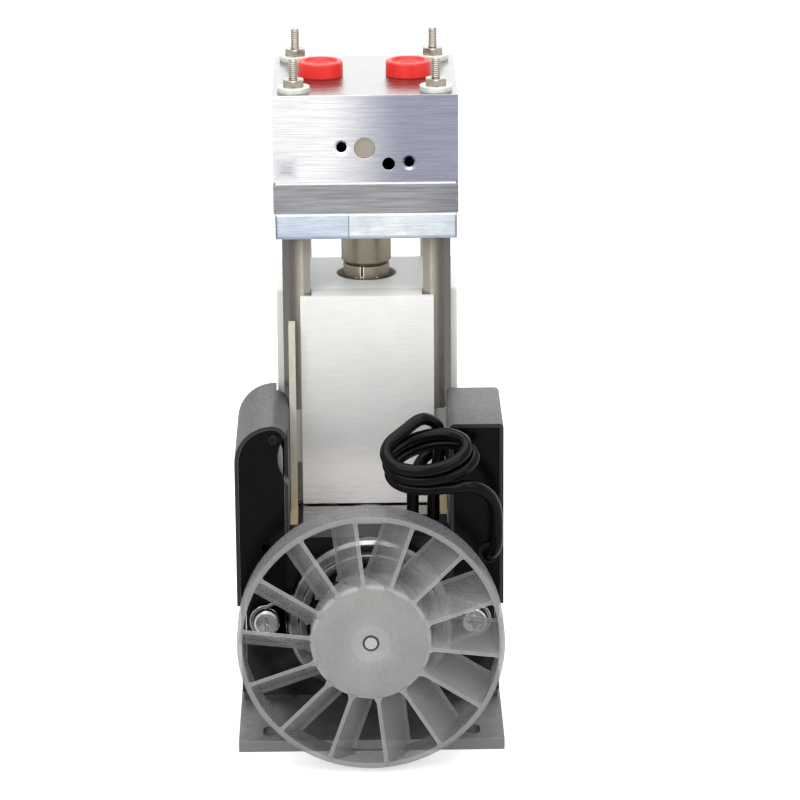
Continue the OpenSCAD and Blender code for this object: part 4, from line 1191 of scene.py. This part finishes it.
def closeTree(tree, given, pieces):
    made = tree.nodes.new("NodeGroupOutput")
    real = tree.nodes.new("GeometryNodeRealizeInstances")
    dress = tree.nodes.new("GeometryNodeSetMaterial")
    tree.links.new(pieces, real.inputs["Geometry"])
    tree.links.new(real.outputs["Geometry"], dress.inputs["Geometry"])
    tree.links.new(given.outputs["Finish"], dress.inputs["Material"])
    tree.links.new(dress.outputs["Geometry"], made.inputs["Pieces"])


def placedTree():
    inputs = [
        ("Places", "NodeSocketGeometry"),
        ("Piece", "NodeSocketObject"),
        ("Finish", "NodeSocketMaterial"),
    ]
    tree, sockets, given = newTree("placed", inputs)
    turn = tree.nodes.new("GeometryNodeInputNamedAttribute")
    turn.data_type = "FLOAT_VECTOR"
    turn.inputs["Name"].default_value = "turn"
    closeTree(tree, given, copiesOf(tree, given, given.outputs["Places"], turn.outputs["Attribute"]))
    return tree, sockets


def wheelTree():
    inputs = [
        ("Frame", "NodeSocketGeometry"),
        ("Piece", "NodeSocketObject"),
        ("Count", "NodeSocketInt"),
        ("First", "NodeSocketFloat"),
        ("Centre", "NodeSocketVector"),
        ("Finish", "NodeSocketMaterial"),
    ]
    tree, sockets, given = newTree("wheel", inputs)
    seeds = tree.nodes.new("GeometryNodePoints")
    tree.links.new(given.outputs["Count"], seeds.inputs["Count"])
    tree.links.new(given.outputs["Centre"], seeds.inputs["Position"])
    index = tree.nodes.new("GeometryNodeInputIndex")
    step = maths(tree, "DIVIDE", -2 * math.pi, given.outputs["Count"])
    angle = add(tree, "ShaderNodeMath", {"operation": "MULTIPLY_ADD"}, i0=index.outputs[0], i1=step)
    tree.links.new(maths(tree, "MULTIPLY", given.outputs["First"], -1.0), angle.inputs[2])
    turn = add(tree, "ShaderNodeCombineXYZ", Y=angle.outputs[0])
    joined = tree.nodes.new("GeometryNodeJoinGeometry")
    tree.links.new(copiesOf(tree, given, seeds.outputs[0], turn.outputs[0]), joined.inputs[0])
    tree.links.new(given.outputs["Frame"], joined.inputs[0])
    closeTree(tree, given, joined.outputs[0])
    return tree, sockets


trees = {"placed": placedTree(), "wheel": wheelTree()}


def applyTree(piece, treeName, values, angle=35):
    tree, sockets = trees[treeName]
    modifier = piece.modifiers.new(treeName, "NODES")
    modifier.node_group = tree
    for label, value in values.items():
        modifier[sockets[label]] = value
    bpy.context.view_layer.update()
    ready = piece.evaluated_get(bpy.context.evaluated_depsgraph_get())
    mesh = bpy.data.meshes.new_from_object(ready)
    piece.modifiers.clear()
    piece.data = mesh
    mesh.shade_smooth()
    mesh.set_sharp_from_angle(angle=math.radians(angle))
    bpy.data.objects.remove(values["Piece"])


def spreadPiece(name, source, places, body, slotName, replaced, look=None):
    mesh = bpy.data.meshes.new(name)
    mesh.from_pydata([tuple(place) for place, turn in places], [], [])
    turns = mesh.attributes.new("turn", "FLOAT_VECTOR", "POINT")
    for i, (place, turn) in enumerate(places):
        turns.data[i].vector = turn
    piece = bpy.data.objects.new(name, mesh)
    world.collection.objects.link(piece)
    applyTree(piece, "placed", {"Piece": source, "Finish": finish[look or slotName]})
    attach(piece, body)
    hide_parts(replaced)


def dressPiece(piece, look, body, slotName, *replaced):
    piece.data.materials.clear()
    piece.data.materials.append(finish[look])
    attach(piece, body)
    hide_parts(*replaced)


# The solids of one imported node, as boxes
def solidBoxes(node):
    work = bmesh.new()
    work.from_mesh(nodes[node].data)
    bmesh.ops.remove_doubles(work, verts=work.verts, dist=sameSpot["packed"])
    left, boxes = set(work.verts), []
    while left:
        front = [left.pop()]
        found = []
        while front:
            vert = front.pop()
            found.append(vert.co.copy())
            for edge in vert.link_edges:
                other = edge.other_vert(vert)
                if other in left:
                    left.remove(other)
                    front.append(other)
        low = Vector(min(c[i] for c in found) for i in range(3))
        high = Vector(max(c[i] for c in found) for i in range(3))
        boxes.append((low, high))
    work.free()
    return sorted(boxes, key=lambda box: tuple(box[0]))


# Pan head, in shares of its height and radius: a dome that falls faster past its shoulder, and a cross
# recess whose arms get narrower and shallower outwards
panHead = {
    "rings": 26,
    "steps": 96,
    "fall": 0.12,
    "shoulder": 0.8,
    "shoulderHeight": 0.923,
    "shoulderFall": 5.5,
    "arm": 0.55,
    "armHalf": 0.13,
    "armWide": 1.15,
    "armNarrows": 0.3,
    "depth": 0.55,
    "depthFalls": 0.35,
    "tip": 0.7,
    "tipLength": 0.3,
}


# The head stands on the origin and the shank goes down
def panScrew(name, look):
    headR, headH = look["headRadius"] * mm, look["headHeight"] * mm
    shankR, length = look["shankRadius"] * mm, look["length"] * mm
    arm, half, depth = headR * panHead["arm"], headR * panHead["armHalf"], headH * panHead["depth"]
    steps = panHead["steps"]

    def dome(r):
        share = r / headR
        if share < panHead["shoulder"]:
            return headH * (1 - panHead["fall"] * share**2)
        past = share - panHead["shoulder"]
        return headH * (panHead["shoulderHeight"] - panHead["shoulderFall"] * past**2)

    def sunk(x, y):
        for a, b in ((abs(x), abs(y)), (abs(y), abs(x))):
            if a < arm and b < half * (panHead["armWide"] - panHead["armNarrows"] * a / arm):
                return depth * (1 - panHead["depthFalls"] * a / arm)
        return 0.0

    def around(r):
        turns = [2 * math.pi * (k + 0.5) / steps for k in range(steps)]
        return [(r * math.cos(a), r * math.sin(a)) for a in turns]

    points, faces = [(0, 0, dome(0) - sunk(0, 0))], []
    for i in range(panHead["rings"]):
        r = headR * (i + 1) / panHead["rings"]
        points += [(x, y, dome(r) - sunk(x, y)) for x, y in around(r)]
    tip = (shankR * panHead["tip"], -length)
    rims = [(headR, 0.0), (shankR, 0.0), (shankR, -length + shankR * panHead["tipLength"]), tip]
    for r, z in rims:
        points += [(x, y, z) for x, y in around(r)]
    faces += [(0, 1 + k, 1 + (k + 1) % steps) for k in range(steps)]
    rows = panHead["rings"] - 1 + len(rims)
    for i in range(rows):
        for k in range(steps):
            a, b = 1 + i * steps + k, 1 + i * steps + (k + 1) % steps
            faces.append((a, a + steps, b + steps, b))
    faces.append(tuple(1 + rows * steps + k for k in range(steps)))
    return linkMesh(name, points, faces, 40)


headTurn = {"front": (math.radians(90), 0, 0), "back": (math.radians(-90), 0, 0), "up": (0, 0, 0)}


def placeScrews(name, node, body, look, facing):
    places = []
    for low, high in solidBoxes(node):
        centre = (low + high) / 2
        side = facing(centre)
        if side == "up":
            seat = (centre.x, centre.y, high.z - look["headHeight"] * mm)
        elif side == "front":
            seat = (centre.x, low.y + look["headHeight"] * mm, centre.z)
        else:
            seat = (centre.x, high.y - look["headHeight"] * mm, centre.z)
        places.append((seat, headTurn[side]))
    dress = node if node in finish else "screw_steel"
    spreadPiece(name, panScrew(name + "Source", look), places, body, "screw_steel", node, dress)


placeScrews(
    "motorScrews",
    "motor_screws",
    "pump",
    {"headRadius": 5, "headHeight": 3, "shankRadius": 2.1, "length": 52},
    lambda centre: "front",
)
placeScrews(
    "capScrews",
    "cap_screws",
    "pump",
    {"headRadius": 2, "headHeight": 1.2, "shankRadius": 1, "length": 6},
    lambda centre: "front" if centre.y < -35 * mm else "back",
)
placeScrews(
    "footScrews",
    "housing_screws",
    "pump",
    {"headRadius": 3.5, "headHeight": 2.4, "shankRadius": 1.75, "length": 7.4},
    lambda centre: "up",
)
placeScrews(
    "rearCoverScrews",
    "rear_cover_screws",
    "pump",
    {"headRadius": 2.75, "headHeight": 2, "shankRadius": 1.5, "length": 6},
    lambda centre: "back",
)
placeScrews(
    "bellScrews",
    "rear_bell_screws",
    "pump",
    {"headRadius": 3.5, "headHeight": 2.4, "shankRadius": 1.75, "length": 7.2},
    lambda centre: "front",
)
print("stage: screws")


# Where a piece stands in each box, in the middle of its foot, each one turned on by a step
def feetOf(boxes, turnStep=0.0):
    places = []
    for i, (low, high) in enumerate(boxes):
        middle = (low + high) / 2
        places.append(((middle.x, middle.y, low.z), (0, 0, turnStep * i)))
    return places


# Studs with a rolled thread on their upper ends
stud = {
    "thread": 0.794,
    "depth": 0.24,
    "sharp": 1.25,
    "rows": 8,
    "threaded": 18.0,
    "steps": 20,
    "foot": 0.3,
    "gap": 0.5,
    "tip": 0.6,
    "tipSlope": 0.8,
    "turn": 0.7,
}


def makeStuds():
    boxes = solidBoxes("studs")
    low, high = boxes[0]
    outer = (high.x - low.x) / 2
    length = high.z - low.z
    threaded = stud["threaded"] * mm
    pitch = stud["thread"] * mm
    count = int(threaded / pitch * stud["rows"])
    levels = [0.0, stud["foot"] * mm, length - threaded - stud["gap"] * mm]
    levels += [length - threaded + threaded * i / count for i in range(count + 1)]

    def radiusAt(i, a):
        level = levels[i]
        if i == 0:
            return outer - stud["foot"] * mm
        if i < 3:
            return outer
        turn = (level / pitch - a / (2 * math.pi)) % 1
        groove = stud["depth"] * mm * (1 - abs(2 * turn - 1) * stud["sharp"])
        chamfer = max(0.0, level - length + stud["tip"] * mm) * stud["tipSlope"]
        return outer - max(0.0, groove) - chamfer

    source = ringed("studSource", levels, stud["steps"], radiusAt, angle=70)
    places = feetOf(boxes, stud["turn"])
    spreadPiece("threadedStuds", source, places, "pump", "screw_steel", "studs", "stud_steel")


makeStuds()


# Hexagon nuts with both faces chamfered. Each ring's size is a share of half the width across flats, and
# None is the bore.
nut = {"chamfer": 0.45, "steps": 72, "bore": 1.77, "sizes": (None, 1.0, 1.06, 1.2, 1.2, 1.06, 1.0, None)}


def makeNuts():
    boxes = solidBoxes("stud_nuts")
    low, high = boxes[0]
    flat = min(high.x - low.x, high.y - low.y) / 2
    height = high.z - low.z
    cut = nut["chamfer"] * mm
    levels = [0.0, 0.0, cut / 2, cut, height - cut, height - cut / 2, height, height]

    def radiusAt(i, a):
        if nut["sizes"][i] is None:
            return nut["bore"] * mm
        hexagon = flat / math.cos((a + math.pi / 6) % (math.pi / 3) - math.pi / 6)
        return min(hexagon, flat * nut["sizes"][i])

    source = ringed("nutSource", levels, nut["steps"], radiusAt, looped=True, angle=25)
    spreadPiece("studNuts", source, feetOf(boxes), "pump", "screw_steel", "stud_nuts", "stud_steel")


makeNuts()


# Flat washers with stamped edges
washer = {"bore": 1.9, "edge": 0.25, "edges": (0.5, 0.4, 1, 1), "steps": 64}


def makeWashers():
    boxes = solidBoxes("stud_washers")
    low, high = boxes[0]
    inner, outer, height = washer["bore"] * mm, (high.x - low.x) / 2, high.z - low.z
    corners = [(inner, 0), (outer, 0), (outer, height), (inner, height)]
    ring = rounded(corners, [washer["edge"] * share * mm for share in washer["edges"]], 4)
    source = turned("washerSource", ring, washer["steps"], looped=True, angle=40)
    spreadPiece("studWashers", source, feetOf(boxes), "pump", "washer", "stud_washers")


makeWashers()
print("stage: studs, nuts and washers")


# Soft caps that plug the ports: a flange with a shallow dished top. Each corner has its own softness.
plug = {
    "flange": 9,
    "height": 6,
    "stem": 5.74,
    "stemLength": 10,
    "rim": 2.2,
    "rimSlope": 0.6,
    "dish": 1.1,
    "floor": 3.4,
    "lead": (0.3, 1),
    "draft": 0.15,
    "rise": 0.1,
    "edge": 0.4,
    "step": 0.5,
    "soft": (0, 0.2, 0.3, 0.3, 0.1, 0.3, 0.8, 0.5, 0.5, 0.3, 0.3, 0),
    "steps": 96,
    "axisGap": 1e-6,
}


def makePlug(name, node, body):
    low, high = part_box(node)
    centre = (low + high) / 2
    top, flange, stem, foot = plug["height"], plug["flange"], plug["stem"], -plug["stemLength"]
    dished = top - plug["dish"]
    corners = [
        (0, foot),
        (stem - plug["lead"][0], foot),
        (stem, foot + plug["lead"][1]),
        (stem, 0),
        (flange - plug["draft"], 0),
        (flange, plug["edge"]),
        (flange - plug["draft"], top - plug["rise"]),
        (flange - plug["rim"], top),
        (flange - plug["rim"] - plug["rimSlope"], dished),
        (plug["floor"], dished - plug["draft"]),
        (plug["floor"] - plug["step"], dished - plug["step"]),
        (0, dished - plug["step"]),
    ]
    profile = rounded(inMetres(corners), [soft * mm for soft in plug["soft"]], 5)
    piece = turned(name, [(max(r, plug["axisGap"]), z) for r, z in profile], plug["steps"])
    piece.data.transform(Matrix.Translation((centre.x, centre.y, high.z - top * mm)))
    dressPiece(piece, "red_plastic", body, "red_plastic", node)


makePlug("inletPlug", "inlet_port_plug", "inlet_plug")
makePlug("outletPlug", "outlet_port_plug", "outlet_plug")
print("stage: port plugs")


# Fan: a turned hub and ring, and blades repeated round the shaft, which thicken where they meet them
fan = {
    "outer": 51.7,
    "wall": 2.2,
    "depth": 14.5,
    "hub": 23.5,
    "hubWall": 1.8,
    "hubSet": 1.0,
    "boss": 6.95,
    "bore": 2.42,
    "bossBack": 13.0,
    "blades": 14,
    "first": 19.3,
    "tilt": 34.0,
    "blade": 1.4,
    "inset": 0.4,
    "fillet": 0.8,
    "filletShare": 1 / 16,
    "thinEdge": 0.86,
    "inHub": 0.9,
    "inRing": 1.1,
    "rows": 8,
    "columns": 14,
    "faceRing": 3,
    "faceSwell": 0.5,
    "ringSoft": (0.5, 0.5, 0.4, 0.4),
    "hubSoft": (0.2, 2.5, 2.2, 0.3, 0.3, 0.8, 0.8, 0.3, 0.1),
    "steps": 144,
}


def bladeSource():
    tilt = math.radians(fan["tilt"])
    inner, outer = fan["hub"] - fan["inHub"], fan["outer"] - fan["inRing"]
    axial = fan["depth"] - 2 * fan["inset"]
    half = fan["blade"] / 2
    points, faces = [], []
    rows, columns = fan["rows"], fan["columns"]
    for side in (-1, 1):
        for i in range(rows + 1):
            for k in range(columns + 1):
                depth = axial * i / rows
                thick = half * (fan["thinEdge"] if i in (0, rows) else 1.0)
                share = k / columns
                near = sum(max(0.0, 1 - end / fan["filletShare"]) for end in (share, 1 - share))
                reach = inner + (outer - inner) * share
                offset = side * (thick + fan["fillet"] * near) / math.cos(tilt)
                drift = depth * math.tan(tilt) + offset
                points.append((reach * mm, (depth + fan["inset"]) * mm, drift * mm))
    count = (rows + 1) * (columns + 1)
    for side in (0, 1):
        for i in range(rows):
            for k in range(columns):
                a = side * count + i * (columns + 1) + k
                faces.append((a, a + 1, a + columns + 2, a + columns + 1))
    border = [(0, k) for k in range(columns)] + [(i, columns) for i in range(rows)]
    border += [(rows, columns - k) for k in range(columns)] + [(rows - i, 0) for i in range(rows)]
    ids = [i * (columns + 1) + k for i, k in border]
    for one, two in zip(ids, ids[1:] + ids[:1]):
        faces.append((one, two, two + count, one + count))
    return linkMesh("bladeSource", points, faces, 50)


def onShaft(part, axis):
    part.data.transform(Matrix.Rotation(math.radians(-90), 4, "X"))
    part.data.transform(Matrix.Translation(axis))
    return part


def makeFan():
    low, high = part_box("cooling_fan")
    axis = Vector(((low.x + high.x) / 2, low.y, (low.z + high.z) / 2))
    outer, inner, depth = fan["outer"], fan["outer"] - fan["wall"], fan["depth"]
    ring = rounded([(inner, 0), (outer, 0), (outer, depth), (inner, depth)], fan["ringSoft"], 4)
    face, back = fan["hubSet"], fan["hubSet"] + fan["hubWall"]
    corners = [
        (fan["bore"], face),
        (fan["boss"] + fan["faceRing"], face - fan["faceSwell"]),
        (fan["hub"], face),
        (fan["hub"], depth),
        (fan["hub"] - fan["hubWall"], depth),
        (fan["hub"] - fan["hubWall"], back),
        (fan["boss"], back),
        (fan["boss"], fan["bossBack"]),
        (fan["bore"], fan["bossBack"]),
    ]
    hub = rounded(corners, fan["hubSoft"], 6)
    for name, profile in (("fanHub", hub), ("fanRing", ring)):
        part = onShaft(turned(name, inMetres(profile), fan["steps"], looped=True, angle=40), axis)
        dressPiece(part, name, "rotor", "clear_plastic", "cooling_fan")
    blades = bpy.data.objects.new("fanBlades", bpy.data.meshes.new("fanBlades"))
    world.collection.objects.link(blades)
    values = {
        "Piece": bladeSource(),
        "Count": fan["blades"],
        "First": math.radians(fan["first"]),
        "Centre": tuple(axis),
        "Finish": finish["clear_plastic"],
    }
    applyTree(blades, "wheel", values, 40)
    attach(blades, "rotor")
    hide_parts("cooling_fan")


makeFan()
print("stage: fan")


# Front bell: turned steps, and two arms with a raised rim round a sunk floor
bell = {
    "dome": [
        (4.5, -63.4),
        (12.5, -63.4),
        (13.5, -62.4),
        (13.5, -59.2),
        (20.5, -59.2),
        (21.5, -58.4),
        (24, -58.4),
        (24.8, -59.4),
        (27.5, -59.4),
        (28.5, -58.2),
        (31.2, -58.2),
        (33, -56.4),
        (33, -52),
        (29.3, -52),
        (29.3, -56.6),
        (13.5, -56.6),
        (13.5, -55.1),
        (11.02, -55.1),
        (11.02, -62.1),
        (4.5, -62.1),
    ],
    "soft": 0.15,
    "screw": 40.5,
    "end": 6.75,
    "half": 6.75,
    "rim": 1.3,
    "root": 29.5,
    "rootHalf": 11.5,
    "front": -57,
    "floor": -55,
    "back": -52.2,
    "boss": 4.6,
    "bore": 2.3,
    "armSteps": 24,
    "bossSteps": 48,
    "domeSteps": 144,
    "angle": 30,
}


# One arm's outline, all round in by the inset: from its root out to a round end about the screw
def armOutline(side, inset):
    end, half, wide = (bell[key] - inset for key in ("end", "half", "rootHalf"))
    outline = [(side * bell["root"] * mm, (shaftHeight - wide) * mm)]
    for i in range(bell["armSteps"] + 1):
        a = math.pi * (i / bell["armSteps"] - 0.5)
        across, up = end * math.cos(a), half * math.sin(a)
        outline.append((side * (bell["screw"] + across) * mm, (shaftHeight + up) * mm))
    outline.append((side * bell["root"] * mm, (shaftHeight + wide) * mm))
    return outline


def extruded(name, outline, front, back):
    count = len(outline)
    points = [(x, y * mm, z) for y in (front, back) for x, z in outline]
    faces = [(i, (i + 1) % count, (i + 1) % count + count, i + count) for i in range(count)]
    faces += [tuple(range(count))[::-1], tuple(range(count, 2 * count))]
    return linkMesh(name, points, faces, bell["angle"])


# A wall between an outer and an inner outline, from one depth to another
def rimmed(name, outer, inner, front, back):
    count = len(outer)
    rows = ((outer, front), (outer, back), (inner, back), (inner, front))
    points = [(x, y * mm, z) for line, y in rows for x, z in line]
    faces = []
    for row in range(len(rows)):
        one, two = row * count, (row + 1) % len(rows) * count
        faces += [(one + i, one + (i + 1) % count, two + (i + 1) % count, two + i) for i in range(count)]
    return linkMesh(name, points, faces, bell["angle"])


def joined(name, parts):
    work = bmesh.new()
    for part in parts:
        work.from_mesh(part.data)
        bpy.data.objects.remove(part)
    mesh = bpy.data.meshes.new(name)
    work.to_mesh(mesh)
    work.free()
    mesh.shade_smooth()
    mesh.set_sharp_from_angle(angle=math.radians(bell["angle"]))
    piece = bpy.data.objects.new(name, mesh)
    world.collection.objects.link(piece)
    return piece


def makeBell():
    front, floor, back = bell["front"], bell["floor"], bell["back"]
    profile = rounded(inMetres(bell["dome"]), [bell["soft"] * mm] * len(bell["dome"]), 4)
    dome = turned("dome", profile, bell["domeSteps"], looped=True, angle=bell["angle"])
    parts = [onShaft(dome, (0, 0, shaftHeight * mm))]
    bossEnds = [(bell["bore"], front), (bell["boss"], front), (bell["boss"], floor), (bell["bore"], floor)]
    for side in (-1, 1):
        outer, inner = armOutline(side, 0), armOutline(side, bell["rim"])
        parts.append(extruded("floorPlate", outer, floor, back))
        parts.append(rimmed("rim", outer, inner, front, floor))
        boss = turned("boss", inMetres(bossEnds), bell["bossSteps"], looped=True, angle=bell["angle"])
        parts.append(onShaft(boss, (side * bell["screw"] * mm, 0, shaftHeight * mm)))
    dressPiece(joined("frontBell", parts), "front_bell", "pump", "die_casting", "front_bell")


makeBell()
print("stage: front bell")


# Cup below the bellows, and the split collar that clamps its sleeve on the rod
rodEnd = {
    "depth": 23.4,
    "cup": [
        (0.001, 187),
        (4.02, 187),
        (4.02, 168.1),
        (6, 168.1),
        (6, 177.6),
        (8.5, 177.6),
        (10, 179.1),
        (10, 201.8),
        (26.5, 201.8),
        (26.5, 203.4),
        (0.001, 203.4),
    ],
    "collar": [(6.03, 168.1), (9.25, 168.1), (9.25, 177.6), (6.03, 177.6)],
    "cupSoft": (0, 0, 0, 0, 0.3, 0.3, 0.3, 0.3, 0, 0, 0),
    "cupSteps": 144,
    "slit": (-14.1, -8.4),
    "soft": 0.35,
    "steps": 132,
}


# Moved so that the profile's last corner is at the height of the node's top
def seatOnRod(piece, node, profile):
    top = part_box(node)[1].z
    piece.data.transform(Matrix.Translation((0, rodEnd["depth"] * mm, top - profile[-1][1] * mm)))


def makeCup():
    profile = rounded(inMetres(rodEnd["cup"]), [soft * mm for soft in rodEnd["cupSoft"]], 4)
    piece = turned("cup", profile, rodEnd["cupSteps"])
    seatOnRod(piece, "bellows_cup", rodEnd["cup"])
    dressPiece(piece, "nickel", "rod", "nickel", "bellows_cup")


def makeCollar():
    profile = rounded(inMetres(rodEnd["collar"]), [rodEnd["soft"] * mm] * 4, 4)
    rows, steps = len(profile), rodEnd["steps"]
    first = math.radians(rodEnd["slit"][1] - 90)
    sweep = math.radians(360 - rodEnd["slit"][1] + rodEnd["slit"][0])
    points, faces = [], []
    for k in range(steps + 1):
        a = first + sweep * k / steps
        points += [(r * math.cos(a), r * math.sin(a), z) for r, z in profile]
    for k in range(steps):
        for i in range(rows):
            n = (i + 1) % rows
            faces.append((k * rows + i, k * rows + n, (k + 1) * rows + n, (k + 1) * rows + i))
    faces += [tuple(range(rows)), tuple(steps * rows + i for i in range(rows))[::-1]]
    piece = linkMesh("collar", points, faces, 30)
    seatOnRod(piece, "clamp_collar", rodEnd["collar"])
    dressPiece(piece, "clamp_collar", "rod", "nickel", "clamp_collar")


makeCup()
makeCollar()
print("stage: cup and collar")


# Stage: a white floor that keeps a soft shadow, and plain soft lights. Bright metal sees one even pale tone.
stage = {
    "span": 6.0,
    "floor": 0.8,
    "rough": 0.9,
    "seenGlow": 0.55,
    "mirrored": 1.08,
    "sky": 0.5,
    "skyColour": (0.98, 0.99, 1.0, 1),
    "backdrop": 1.1,
}


# Light falls on the plain shader, the camera sees the second, and shiny surfaces see the third
def bySight(tree, plainLook, seenLook, mirroredLook, output):
    seen = tree.nodes.new("ShaderNodeLightPath")
    pick = tree.nodes.new("ShaderNodeMixShader")
    last = tree.nodes.new("ShaderNodeMixShader")
    tree.links.new(seen.outputs["Is Camera Ray"], pick.inputs[0])
    tree.links.new(plainLook.outputs[0], pick.inputs[1])
    tree.links.new(seenLook.outputs[0], pick.inputs[2])
    tree.links.new(seen.outputs["Is Glossy Ray"], last.inputs[0])
    tree.links.new(pick.outputs[0], last.inputs[1])
    tree.links.new(mirroredLook.outputs[0], last.inputs[2])
    tree.links.new(last.outputs[0], tree.nodes[output].inputs["Surface"])


def makeFloor():
    span = stage["span"]
    corners = [(-span, -span, 0), (span, -span, 0), (span, span, 0), (-span, span, 0)]
    floor = linkMesh("floor", corners, [(0, 1, 2, 3)])
    white = bpy.data.materials.new("floorWhite")
    white.use_nodes = True
    tree = white.node_tree
    shader = tree.nodes["Principled BSDF"]
    shader.inputs["Base Color"].default_value = (stage["floor"], stage["floor"], stage["floor"], 1)
    shader.inputs["Roughness"].default_value = stage["rough"]
    shader.inputs["Specular IOR Level"].default_value = 0.0
    glow = add(tree, "ShaderNodeEmission", Color=(1, 1, 1, 1), Strength=stage["seenGlow"])
    mirror = add(tree, "ShaderNodeEmission", Color=(1, 1, 1, 1), Strength=stage["mirrored"])
    both = tree.nodes.new("ShaderNodeAddShader")
    tree.links.new(shader.outputs[0], both.inputs[0])
    tree.links.new(glow.outputs[0], both.inputs[1])
    bySight(tree, shader, both, mirror, "Material Output")
    floor.data.materials.append(white)


def makeSky():
    sky = bpy.data.worlds.new("sky")
    sky.use_nodes = True
    tree = sky.node_tree
    back = tree.nodes["Background"]
    back.inputs["Color"].default_value = stage["skyColour"]
    back.inputs["Strength"].default_value = stage["sky"]
    bright = add(tree, "ShaderNodeBackground", Color=(1, 1, 1, 1), Strength=stage["backdrop"])
    mirror = add(tree, "ShaderNodeBackground", Color=(1, 1, 1, 1), Strength=stage["mirrored"])
    bySight(tree, back, bright, mirror, "World Output")
    world.world = sky


def makeLight(name, look):
    lamp = bpy.data.lights.new(name, "AREA")
    lamp.shape = "RECTANGLE"
    lamp.size, lamp.size_y = look["size"]
    lamp.energy = look["watts"]
    lamp.color = look["colour"]
    light = bpy.data.objects.new(name, lamp)
    light.location = look["place"]
    aim = Vector(look["aim"]) - Vector(look["place"])
    light.rotation_mode = "QUATERNION"
    light.rotation_quaternion = aim.to_track_quat("-Z", "Y")
    light.visible_camera = False
    world.collection.objects.link(light)


lights = {
    "topLight": {
        "place": (0, -0.2, 1.5),
        "aim": (0, 0, 0.1),
        "size": (1.6, 1.6),
        "watts": 24,
        "colour": (1, 1, 1),
    },
    "keyLight": {
        "place": (-0.5, -1.1, 0.75),
        "aim": (0, 0, 0.14),
        "size": (0.9, 0.8),
        "watts": 6.5,
        "colour": (1, 1, 1),
    },
    "fillLight": {
        "place": (0.8, -1.0, 0.7),
        "aim": (0, 0, 0.14),
        "size": (0.8, 1.0),
        "watts": 4,
        "colour": (0.97, 0.98, 1),
    },
    "backLight": {
        "place": (0.3, 1.2, 0.7),
        "aim": (0, 0, 0.18),
        "size": (1.6, 0.8),
        "watts": 4,
        "colour": (1, 1, 1),
    },
}
makeFloor()
makeSky()
for name, look in lights.items():
    makeLight(name, look)
world.view_settings.view_transform = "Standard"
print("stage: light")
